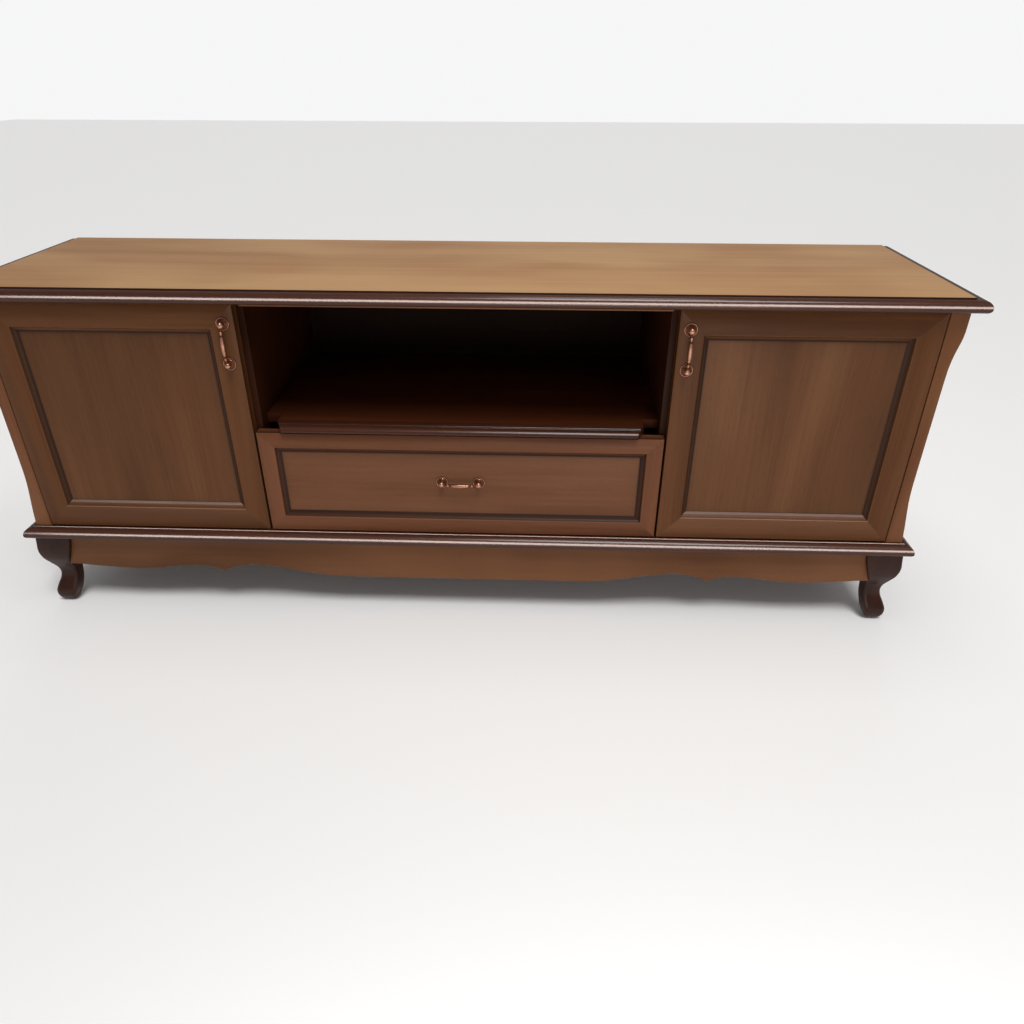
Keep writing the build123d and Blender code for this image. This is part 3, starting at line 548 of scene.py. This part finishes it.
# ------------------------------------------------------------------ posts and case
POST_ROUNDING = 1.4
WAIST = [                       # the posts' sawn outer edge, as (x, height) from the top down
    (780.0, 538.0), (778.7, 526.0), (776.0, 514.0), (773.4, 502.0), (771.4, 488.0), (770.3, 468.0),
    (770.0, 400.0), (769.8, 300.0), (770.2, 264.0), (771.8, 242.0), (774.4, 220.0), (777.4, 196.0),
    (779.6, 174.0),
]
post_edge = smooth_line(WAIST, 5)
for side_name, side in SIDES:
    for end_name in ("front", "back"):
        node = f"post_{end_name}_{side_name}"
        low, high = node_box(node)
        inner = min(abs(low.x), abs(high.x))
        outline = [(inner, CASE_BOTTOM), (inner, TOP_UNDER), (TOP_CASE_HALF, TOP_UNDER)]
        outline += post_edge + [(TOP_CASE_HALF, CASE_BOTTOM)]
        bm = shaped_board([(side * x, z) for x, z in outline], low.y, high.y, POST_ROUNDING)
        finish_piece(f"{node}_wood", bm, "case", [node], walnut_frame, "Z", 20 + side)

for node, grain, seed in (
    ("side_panel_left", "Z", 31), ("side_panel_right", "Z", 32), ("niche_top_rail", "X", 36),
):
    board_for(node, "case", walnut_frame, grain, seed)
FRONT_EDGE_SHADE = 0.85         # painted shade on the front edges of the boards inside, which sit back in shadow
for node, grain, seed in (
    ("partition_left", "Z", 41), ("partition_right", "Z", 42),
    ("cupboard_shelf_left", "X", 43), ("cupboard_shelf_right", "X", 44),
):
    low, high = node_box(node)
    bm = sawn_board(low, high)
    glaze = point_layer(bm, "glaze")
    for vert in bm.verts:
        vert[glaze] = FRONT_EDGE_SHADE if vert.co.y < low.y + 1.0 else 0.0
    finish_piece(f"{node}_wood", bm, "case", [node], walnut_carcass_shaded, grain, seed)
board_for("back_panel", "case", back_board_shaded, "X", 45, 0.3)

# the niche's shelf is set back at both ends, where its nosing stops
shelf_low, shelf_high = node_box("niche_shelf")
nosing_low, nosing_high = node_box("niche_shelf_nosing")
NOTCH_X = nosing_high.x - 2.0           # just inside the nosing's end
NOTCH_Y = shelf_low.y + 26.0            # the notch is 26 mm deep
shelf_outline = [
    (shelf_low.x, shelf_high.y), (shelf_high.x, shelf_high.y), (shelf_high.x, NOTCH_Y),
    (NOTCH_X, NOTCH_Y), (NOTCH_X, shelf_low.y), (-NOTCH_X, shelf_low.y), (-NOTCH_X, NOTCH_Y),
    (shelf_low.x, NOTCH_Y),
]
bm = bmesh.new()
rim = [bm.verts.new((x, y, shelf_low.z)) for x, y in shelf_outline]
grown = bmesh.ops.extrude_face_region(bm, geom=[bm.faces.new(rim)])
lifted = [g for g in grown["geom"] if isinstance(g, bmesh.types.BMVert)]
bmesh.ops.translate(bm, verts=lifted, vec=(0, 0, shelf_high.z - shelf_low.z))
round_arris(bm, 0.7)
finish_piece("niche_shelf_wood", bm, "case", ["niche_shelf"], walnut_carcass_shaded, "X", 51)

depth = nosing_high.y - nosing_low.y
under, over = nosing_low.z, nosing_high.z
nosing_section = [
    (0, under), (0, over), (depth - 13.4, over), (depth - 13.0, over - 0.4),
    (depth - 12.6, over - 2.1), (depth - 12.3, over - 2.4), (depth - 11.6, over - 2.0),
]
nosing_section += ovolo(
    nosing_section[-1], (depth - 3.6, over - 4.4), (depth, over - 9.0),
    (depth - 1.2, over - 11.8), (depth - 4.0, under),
)
NOSING_QUIRK = range(3, 7)
NOSING_SLANT = 0.42             # how much its ends draw in for each millimetre forwards
nosing_run = [((side * nosing_high.x, nosing_high.y, 0), (-side * NOSING_SLANT, -1, 0)) for side in (-1, 1)]
lay_moulding("niche_shelf_nosing", nosing_section, nosing_run, NOSING_QUIRK, "X", 52)

# ------------------------------------------------------------------ legs
# Profiles are (inset from the moulding's corner, height), from the top down.
LEG_OUTER = [
    (12.0, 146.0), (10.6, 130.0), (9.4, 114.0), (12.2, 98.0), (18.0, 85.0), (24.6, 71.0), (26.4, 59.0),
    (23.8, 47.0), (17.8, 34.5), (13.8, 24.0), (13.6, 15.0), (16.6, 6.5), (21.8, 1.6), (25.0, 0.0),
]
LEG_INNER = [
    (75.0, 146.0), (73.6, 132.0), (70.0, 118.0), (64.2, 102.0), (59.8, 88.0), (57.6, 71.0), (57.2, 55.0),
    (55.6, 38.0), (52.2, 22.0), (48.0, 10.0), (43.6, 3.0), (39.0, 0.0),
]
LEG_ROUNDING = [                # (corner radius, height)
    (2.6, 146.0), (3.2, 112.0), (4.6, 84.0), (5.6, 58.0), (7.6, 30.0), (7.0, 10.0), (4.0, 0.0),
]
LEG_STEPS = 8                   # of the curve, between two points of a profile
LEG_SLICE = 2.4                 # height between two sections
CORNER_STEPS = 6


def read_line(line, height):
    """A profile's reach at a height; its points run from the top down."""
    for (reach_a, z_a), (reach_b, z_b) in zip(line, line[1:]):
        if z_a >= height >= z_b and z_a != z_b:
            return reach_a + (reach_b - reach_a) * (z_a - height) / (z_a - z_b)
    return line[-1][0]


def cabriole_leg(side, end):
    """Rounded square sections, each as wide as the sawn outline leaves it, from the knee to the toe."""
    outer, inner, rounding = (smooth_line(line, LEG_STEPS) for line in (LEG_OUTER, LEG_INNER, LEG_ROUNDING))
    heights = [BASE_UNDER - i * LEG_SLICE for i in range(int(BASE_UNDER / LEG_SLICE) + 1)]
    heights += [1.2, 0.4, 0.0]
    bm = bmesh.new()
    rings = []
    for height in sorted(set(heights), reverse=True):
        near, far = read_line(outer, height), read_line(inner, height)
        corner = min(read_line(rounding, height), (far - near) / 2.2)
        ring = []
        for quarter in range(4):
            centre_x = far - corner if quarter in (0, 3) else near + corner
            centre_y = far - corner if quarter in (0, 1) else near + corner
            for step in range(CORNER_STEPS + 1):
                turn = math.pi / 2 * (quarter + step / CORNER_STEPS)
                x = LEG_CORNER_X - (centre_x + corner * math.cos(turn))
                y = LEG_CORNER_Y - (centre_y + corner * math.sin(turn))
                ring.append(bm.verts.new((side * x, end * y, height)))
        rings.append(ring)
    skin_rings(bm, rings)
    return bm


CARVED_CREASE = 50.0            # degrees, past which a carved or framed piece's edge stays crisp
for side_name, side in SIDES:
    for end_name, end in (("front", -1), ("back", 1)):
        node = f"leg_{end_name}_{side_name}"
        leg, seed = cabriole_leg(side, end), 61 + side + 4 * end
        finish_piece(
            f"{node}_wood", leg, "case", [node], walnut_leg, "Z", seed, CARVED_CREASE,
        )

# ------------------------------------------------------------------ aprons
# The front apron's sawn lower edge, (x, height): from the leg to a cusp, and from the cusp inwards.
APRON_WAVE = [
    (724.0, 84.0), (680.0, 80.4), (641.0, 77.6), (608.0, 76.6), (572.0, 79.0), (540.0, 83.0),
    (500.0, 86.4), (470.0, 83.6), (449.0, 74.0),
]
APRON_ARCH = [
    (449.0, 74.0), (436.0, 82.0), (418.0, 86.6), (386.0, 90.0), (345.0, 86.0), (308.0, 79.4),
    (271.0, 73.2), (240.0, 70.0), (215.0, 69.0),
]
APRON_LOW = 84.0                # lower corner of an apron where it meets a leg
APRON_BOARD = 18.0
APRON_ROUNDING = 1.0
ARCH_RISE = 12.0                # of the side aprons' lower edge
wave = smooth_line(APRON_WAVE, 4) + smooth_line(APRON_ARCH, 4)[1:]
leg_inner_line = smooth_line(LEG_INNER, LEG_STEPS)
ledge = [(LEG_CORNER_X - inset, z) for inset, z in leg_inner_line if z > APRON_LOW]
right_half = ledge + [(ledge[-1][0], APRON_LOW)] + wave
outline = right_half + [(-x, z) for x, z in reversed(right_half)]
apron_low, apron_high = node_box("apron_front")
bm = shaped_board(outline, apron_low.y, apron_high.y, APRON_ROUNDING)
finish_piece("apron_front_wood", bm, "case", ["apron_front"], walnut_apron_shaded, "X", 71)

back_low, back_high = node_box("apron_back")
lowest = [(x, z) for x, z in ledge if z > back_low.z]
outline = lowest + [(lowest[-1][0], back_low.z)]
outline += [(-x, z) for x, z in reversed(outline)]
bm = shaped_board(outline, back_low.y, back_high.y, APRON_ROUNDING)
finish_piece("apron_back_wood", bm, "case", ["apron_back"], walnut_apron_shaded, "X", 73)

shoulder = [(LEG_CORNER_Y - inset, z) for inset, z in leg_inner_line if z > APRON_LOW]
foot = (shoulder[-1][0], APRON_LOW)
arch = arc(foot, (0, APRON_LOW + ARCH_RISE), (-foot[0], APRON_LOW), 24)
outline = shoulder + [foot] + arch + [(-y, z) for y, z in reversed(shoulder)]
both_sides = bmesh.new()
for side in (-1, 1):
    inner_face, outer_face = side * (BASE_HALF - APRON_BOARD), side * BASE_HALF
    side_board = shaped_board(outline, inner_face, outer_face, APRON_ROUNDING, axis="X")
    scratch = bpy.data.meshes.new("side_apron")
    side_board.to_mesh(scratch)
    side_board.free()
    both_sides.from_mesh(scratch)
finish_piece("side_aprons_wood", both_sides, "case", ["side_aprons"], walnut_apron_shaded, "Y", 72)


# ------------------------------------------------------------------ framed fronts
BOARD = 20.0                    # thickness of a frame
BEVEL = 9.0                     # width of its moulded inner edge
RECESS = 8.0                    # depth of a panel's face behind the frame's
PANEL_TUCK = 6.0                # how far a panel runs in under its frame
DOOR_FRAME, DRAWER_FRAME = 40.0, 27.0          # flat width of the stiles and rails
GAP_SHADE = 0.9                 # painted shade on a frame's outer edges, in the gap beside it
# painted shade round a panel, beside its frame: (millimetres from the frame, how much)
PANEL_SHADE_FADE = ((0.0, 1.0), (0.8, 0.7), (1.6, 0.25), (4.0, 0.1), (12.0, 0.04), (34.0, 0.0))


def frame_section(flat, depth):
    """Section of a stile or rail as (inwards, depth behind the face): arris, flat, sunk cove, rebate."""
    lip = flat + BEVEL
    points = [(0, depth), (0, 1.2), (0.35, 0.35), (1.2, 0), (flat - 1.6, 0), (flat - 0.5, 0.35), (flat, 1.4)]
    points += arc((flat, 1.4), (flat + 2.6, 5.0), (lip - 0.6, RECESS - 0.4), 6)
    points += [(lip, RECESS + 0.2), (lip, RECESS + 0.6), (lip, depth)]
    return points


def mitred_piece(bm, run, flat, edge_shade, gap_shade=GAP_SHADE):
    """One mitred stile or rail. Glaze and painted shade lie on its moulded edge, painted shade fills the foot
    of the recess and the gap beside it.
    """
    glaze, worn = point_layer(bm, "glaze"), point_layer(bm, "worn")
    section = frame_section(flat, BOARD)
    before = len(bm.verts)
    run_section(bm, section, run, (0, 1, 0))
    bm.verts.ensure_lookup_table()
    for ring in range(2):
        for index, (across, depth) in enumerate(section):
            vert = bm.verts[before + ring * len(section) + index]
            sunk = max(0.0, min(1.0, (depth - 0.9) / 1.6)) if across > flat - 0.3 else 0.0
            # full painted shade at the foot of the recess; glaze and painted shade on the bevel
            glaze_and_shade_amount = 1.0 if depth > RECESS - 1.2 and across > flat else sunk * edge_shade
            vert[glaze] = 0.0 if depth == BOARD else gap_shade if across == 0 else glaze_and_shade_amount
            # the front arrises are lighter: wear and a painted highlight
            vert[worn] = 0.8 if depth < 1.0 and (across < 1.0 or across > flat - 1.0) else 0.0


def inset_corners(low, high, margin):
    """The (x, z) corners of a box's front, moved in by a margin."""
    left, right, bottom, top = low.x + margin, high.x - margin, low.z + margin, high.z - margin
    return (left, bottom), (right, bottom), (right, top), (left, top)


def sunk_panel(name, body, node, finish, grain, seed, glaze_and_shade_amount):
    """The panel behind a frame: its margin is darkened with painted shade, which fades towards the middle."""
    low, high = node_box(node)
    margins = [(0.0, 1.0)] + [(PANEL_TUCK + beyond, amount) for beyond, amount in PANEL_SHADE_FADE]
    bm = bmesh.new()
    glaze = point_layer(bm, "glaze")
    loops = []
    for margin, amount in margins:
        loop = [bm.verts.new((x, low.y, z)) for x, z in inset_corners(low, high, margin)]
        for vert in loop:
            vert[glaze] = amount * glaze_and_shade_amount
        loops.append(loop)
    for outside, inside in zip(loops, loops[1:]):
        bridge(bm, outside, inside)
    bm.faces.new(loops[-1])
    back = [bm.verts.new((v.co.x, high.y, v.co.z)) for v in loops[0]]
    bridge(bm, loops[0], back)
    bm.faces.new(back[::-1])
    finish_piece(name, bm, body, [node], finish, grain, seed)


def frame_runs(x_low, x_high, z_low, z_high):
    """The four edges of a frame, each between two corners with the mitre's way across at each."""
    low_left, low_right = ((x_low, FRONT, z_low), (1, 0, 1)), ((x_high, FRONT, z_low), (-1, 0, 1))
    high_left, high_right = ((x_low, FRONT, z_high), (1, 0, -1)), ((x_high, FRONT, z_high), (-1, 0, -1))
    return {
        "bottom": (low_left, low_right), "right": (low_right, high_right),
        "top": (high_right, high_left), "left": (high_left, low_left),
    }


# how much glaze and painted shade darken each moulded edge; on the doors the bevels above and below are left
# lighter
DOOR_EDGE_SHADE = {"bottom": 0.1, "left": 0.75, "right": 0.75, "top": 0.1}
DRAWER_EDGE_SHADE = {"bottom": 0.9, "left": 0.85, "right": 0.85, "top": 0.6}

for side_name, side in SIDES:
    body = f"{side_name}_door"
    low, high = node_box(f"{body}_rail_top")
    bottom_low = node_box(f"{body}_rail_bottom")[0]
    runs = frame_runs(low.x, high.x, bottom_low.z, high.z)
    outer, inner = ("left", "right") if side < 0 else ("right", "left")
    for place, node, grain in (
        (outer, f"{body}_stile_outer", "Z"), (inner, f"{body}_stile_inner", "Z"),
        ("bottom", f"{body}_rail_bottom", "X"), ("top", f"{body}_rail_top", "X"),
    ):
        bm = bmesh.new()
        mitred_piece(bm, runs[place], DOOR_FRAME, DOOR_EDGE_SHADE[place], 0.0 if place == outer else GAP_SHADE)
        seed = sum(map(ord, node))
        finish_piece(
            f"{node}_wood", bm, body, [node], walnut_frame_in_door_shade, grain, seed, CARVED_CREASE,
        )
    node = f"{body}_panel"
    sunk_panel(f"{node}_wood", body, node, walnut_panel_in_door_shade, "Z", 80 + side, 0.45)

drawer_low, drawer_high = node_box("drawer_front_rails")
runs = frame_runs(drawer_low.x, drawer_high.x, drawer_low.z, drawer_high.z)
for node, places, grain in (
    ("drawer_front_stiles", ("left", "right"), "Z"), ("drawer_front_rails", ("bottom", "top"), "X"),
):
    bm = bmesh.new()
    for place in places:
        mitred_piece(bm, runs[place], DRAWER_FRAME, DRAWER_EDGE_SHADE[place])
    finish_piece(f"{node}_wood", bm, "drawer", [node], walnut_frame, grain, 91, CARVED_CREASE)
node = "drawer_front_panel"
sunk_panel(f"{node}_wood", "drawer", node, walnut_panel, "X", 92, 0.9)

for node, grain, seed in (
    ("drawer_side_left", "Y", 93), ("drawer_side_right", "Y", 94), ("drawer_box_front", "X", 95),
    ("drawer_box_back", "X", 96), ("drawer_floor", "X", 97),
):
    board_for(node, "drawer", drawer_board, grain, seed, 0.6)


# ------------------------------------------------------------------ bow handles
HALF_PITCH = 32.0               # of the screw holes, 64 mm apart
BAR_REACH, BAR_ENDS = 15.4, 11.6               # how far the bar stands out, in the middle and at its ends
BAR_STATIONS, BAR_SIDES = 64, 20
ROSETTE_SIDES = 40
ROSETTE = (                     # (radius, height): a dished plate, a neck and a ball head
    [(10.5, 0.0), (10.5, 0.9)] + arc((10.5, 0.9), (10.2, 1.7), (9.4, 2.0), 4)
    + arc((9.4, 2.0), (8.2, 1.5), (7.2, 2.1), 5) + arc((7.2, 2.1), (6.2, 3.2), (4.8, 3.4), 5)
    + [(3.6, 4.4), (3.2, 5.6), (3.1, 7.0)] + arc((3.1, 7.0), (5.2, 11.2), (0.4, 15.6), 14)
)


def turn_rosette(bm, centre, along, across, out):
    """Turn the rosette's profile; its ball head and the rim of its plate are rubbed bright, as wear and a
    painted highlight.
    """
    worn = point_layer(bm, "worn")
    rings = []
    for radius, height in ROSETTE:
        ring = []
        for i in range(ROSETTE_SIDES):
            angle = math.tau * i / ROSETTE_SIDES
            spoke = along * math.cos(angle) + across * math.sin(angle)
            vert = bm.verts.new(centre + spoke * radius + out * height)
            vert[worn] = 0.95 if height > 10.0 or abs(height - 2.0) < 0.15 else 0.25
            ring.append(vert)
        rings.append(ring)
    skin_rings(bm, rings)


def bar_radius(along):
    """The bar's radius: a swelling 17 mm to each side of the middle, then two collars at each end."""
    swell = 1.55 * max(0.0, 1 - (along / 17.0) ** 2)
    collars = sum(1.15 * math.exp(-((abs(along) - collar) / 0.9) ** 2) for collar in (19.2, 22.0))
    return 2.05 + swell + collars


def bow_handle(name, body, node, along_axis):
    """Two rosettes with ball heads and a turned bar bowed outwards between them."""
    low, high = node_box(node)
    along, across = (Vector((1, 0, 0)), Vector((0, 0, 1))) if along_axis == "X" else (
        Vector((0, 0, 1)), Vector((1, 0, 0)))
    out = Vector((0, -1, 0))
    middle = Vector(((low.x + high.x) / 2, high.y, (low.z + high.z) / 2))
    bm = bmesh.new()
    for end in (-1, 1):
        turn_rosette(bm, middle + along * (end * HALF_PITCH), along, across, out)
    worn = point_layer(bm, "worn")
    bow = BAR_REACH - BAR_ENDS
    rings = []
    for step in range(BAR_STATIONS + 1):
        station = HALF_PITCH * (2 * step / BAR_STATIONS - 1)
        reach = BAR_REACH - bow * (station / HALF_PITCH) ** 2
        slope = -2 * bow * station / HALF_PITCH ** 2
        normal = (out - along * slope).normalized()
        axis = middle + along * station + out * reach
        radius = bar_radius(station)
        ring = []
        for i in range(BAR_SIDES):
            angle = math.tau * i / BAR_SIDES
            vert = bm.verts.new(axis + (normal * math.cos(angle) + across * math.sin(angle)) * radius)
            # the bar's outward side is lighter, as wear and a painted highlight
            vert[worn] = 0.35 + 0.6 * max(0.0, math.cos(angle)) if radius > 2.4 else 0.3
            ring.append(vert)
        rings.append(ring)
    skin_rings(bm, rings)
    finish_piece(name, bm, body, [node], antique_copper, "X", 5, CARVED_CREASE)


bow_handle("left_door_bow", "left_door", "left_door_handle", "Z")
bow_handle("right_door_bow", "right_door", "right_door_handle", "Z")
bow_handle("drawer_bow", "drawer", "drawer_handle", "X")


# ------------------------------------------------------------------ brads round the back panel
def brad_rows_tree():
    """Heads of equal size, evenly spaced along every edge of the guide mesh."""
    tree = bpy.data.node_groups.new("brad rows", "GeometryNodeTree")
    tree.interface.new_socket("Geometry", in_out="INPUT", socket_type="NodeSocketGeometry")
    tree.interface.new_socket("Geometry", in_out="OUTPUT", socket_type="NodeSocketGeometry")
    keys = {
        name: tree.interface.new_socket(name, in_out="INPUT", socket_type=kind).identifier
        for name, kind in (
            ("Spacing", "NodeSocketFloat"), ("Head Radius", "NodeSocketFloat"),
            ("Head Height", "NodeSocketFloat"), ("Metal", "NodeSocketMaterial"),
        )
    }
    source = tree.nodes.new("NodeGroupInput")
    result = tree.nodes.new("NodeGroupOutput")
    line = add(tree, "GeometryNodeMeshToCurve", {"Mesh": source.outputs["Geometry"]})
    spaced = add(
        tree, "GeometryNodeResampleCurve",
        {"Curve": line.outputs["Curve"], "Length": source.outputs["Spacing"]}, mode="LENGTH",
    )
    slim = add(tree, "ShaderNodeMath", {0: source.outputs["Head Radius"], 1: 0.7}, operation="MULTIPLY")
    head = add(tree, "GeometryNodeMeshCone", {
        "Vertices": 10, "Radius Bottom": source.outputs["Head Radius"],
        "Radius Top": slim.outputs[0], "Depth": source.outputs["Head Height"],
    })
    turned = add(tree, "FunctionNodeInputVector", vector=(-math.pi / 2, 0, 0))
    points = add(tree, "GeometryNodeInstanceOnPoints", {
        "Points": spaced.outputs["Curve"], "Instance": head.outputs["Mesh"],
        "Rotation": turned.outputs["Vector"],
    })
    real = add(tree, "GeometryNodeRealizeInstances", {"Geometry": points.outputs["Instances"]})
    metal = add(tree, "GeometryNodeSetMaterial", {
        "Geometry": real.outputs["Geometry"], "Material": source.outputs["Metal"],
    })
    tree.links.new(metal.outputs["Geometry"], result.inputs["Geometry"])
    return tree, keys


back_low, back_high = node_box("back_panel")
BRAD_INSET = 9.0                # of the brads round the panel's edge
UPRIGHT_INSET = 60.0            # of the rows along the partitions, at the top and bottom
partition_x = sum(corner.x for corner in node_box("partition_right")) / 2
uprights = [
    (side * partition_x, z)
    for side in (-1, 1) for z in (back_low.z + UPRIGHT_INSET, back_high.z - UPRIGHT_INSET)
]
corners = inset_corners(back_low, back_high, BRAD_INSET)
guide_points = [(x * MM, back_high.y * MM, z * MM) for x, z in (*corners, *uprights)]
guide = bpy.data.meshes.new("brad guide")
guide.from_pydata(guide_points, [(0, 1), (1, 2), (2, 3), (3, 0), (4, 5), (6, 7)], [])
brads = bpy.data.objects.new("brad guide", guide)
bpy.context.scene.collection.objects.link(brads)
tree, keys = brad_rows_tree()
rows = brads.modifiers.new("rows", "NODES")
rows.node_group = tree
rows[keys["Spacing"]] = 92.0 * MM
rows[keys["Head Radius"]] = 2.2 * MM
rows[keys["Head Height"]] = 0.9 * MM
rows[keys["Metal"]] = zinc_steel
bpy.context.view_layer.update()
solid = bpy.data.meshes.new_from_object(brads.evaluated_get(bpy.context.evaluated_depsgraph_get()))
bpy.data.objects.remove(brads)
back_brads = bpy.data.objects.new("back_panel_brads", solid)
bpy.context.scene.collection.objects.link(back_brads)
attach(back_brads, "case")

# ------------------------------------------------------------------ floor, light and camera
floor_material, tree, shader = new_material("painted studio floor")
shader.inputs["Base Color"].default_value = linear("#f9f8f7")
shader.inputs["Roughness"].default_value = 0.7
floor_mesh = bpy.data.meshes.new("studio_floor")
floor_mesh.from_pydata([(-9, -6, 0), (9, -6, 0), (9, 14, 0), (-9, 14, 0)], [], [(0, 1, 2, 3)])
floor_mesh.materials.append(floor_material)
studio_floor = bpy.data.objects.new("studio_floor", floor_mesh)
bpy.context.scene.collection.objects.link(studio_floor)

# A bright room far away: the camera sees a pale wall, and only part of its light reaches the cabinet.
world = bpy.data.worlds.new("studio")
world.use_nodes = True
tree = world.node_tree
seen = add(tree, "ShaderNodeLightPath").outputs["Is Camera Ray"]
WALL_SEEN, ROOM_LIGHT = 0.70, 0.26
mixed = {0: seen, 1: WALL_SEEN, 2: ROOM_LIGHT}
strength = add(tree, "ShaderNodeMath", mixed, operation="MULTIPLY_ADD").outputs[0]
tree.nodes["Background"].inputs["Color"].default_value = linear("#fbfbfc")
tree.links.new(strength, tree.nodes["Background"].inputs["Strength"])
bpy.context.scene.world = world


def lamp(kind, name, place, toward, colour, **settings):
    """A lamp at a place, shining towards a point; the camera doesn't see it."""
    light = bpy.data.lights.new(name, kind)
    light.color = linear(colour)[:3]
    for key, value in settings.items():
        setattr(light, key, value)
    lamp_object = bpy.data.objects.new(name, light)
    bpy.context.scene.collection.objects.link(lamp_object)
    way = Vector(toward) - Vector(place)
    lamp_object.matrix_world = Matrix.Translation(place) @ way.to_track_quat("-Z", "Y").to_matrix().to_4x4()
    lamp_object.visible_camera = False
    return lamp_object


CENTRE = (0.0, 0.0, 0.0)
lamp(
    "SUN", "daylight from above", (0.14, -0.42, 1.0), CENTRE, "#ffffff",
    energy=1.8, angle=math.radians(24.0),
)
lamp(
    "AREA", "ceiling light", (0.35, -0.1, 2.15), (0.25, -0.1, 0.0), "#fffaf4",
    energy=7.0, shape="RECTANGLE", size=1.0, size_y=0.7,
)
lamp(
    "AREA", "low light in front", (0.30, -1.45, 0.22), (0.12, -0.2, 0.24), "#ffffff",
    energy=3.2, shape="RECTANGLE", size=1.0, size_y=0.2,
)
# a wide window, only as a reflection: it draws the bright line along the lacquered mouldings
window = lamp(
    "AREA", "window reflected", (0.1, -3.1, 1.15), (0.1, -0.2, 0.5), "#ffece2",
    energy=640.0, shape="RECTANGLE", size=5.6, size_y=1.5,
)
window.visible_diffuse = False
mirrored_in = bpy.data.collections.new("pieces that mirror the window")
for piece in bpy.data.objects:
    if any(word in piece.name for word in ("_moulding_front", "_rail_bottom")):
        mirrored_in.objects.link(piece)
window.light_linking.receiver_collection = mirrored_in
# the back gets a soft fill that leaves no glare on the top
fill = lamp("SUN", "fill behind", (0.0, 1.0, 0.4), CENTRE, "#ffffff", energy=0.55, angle=math.radians(50.0))
fill.visible_glossy = False

camera_data = bpy.data.cameras.new("camera")
camera_data.sensor_width = 36.0
camera_data.lens = 28.17
camera_data.shift_x = 0.0014
camera_data.shift_y = 0.0508
camera = bpy.data.objects.new("camera", camera_data)
bpy.context.scene.collection.objects.link(camera)
CAMERA_PLACE = (0.13295, -1.43407, 0.88760)
PITCH_DOWN, HEADING, ROLL = 32.1845, 2.0827, 0.1371
camera.matrix_world = (
    Matrix.Translation(CAMERA_PLACE)
    @ Matrix.Rotation(math.radians(HEADING), 4, "Z")
    @ Matrix.Rotation(math.radians(90.0 - PITCH_DOWN), 4, "X")
    @ Matrix.Rotation(math.radians(ROLL), 4, "Z")
)
bpy.context.scene.camera = camera
bpy.context.scene.view_settings.view_transform = "Standard"
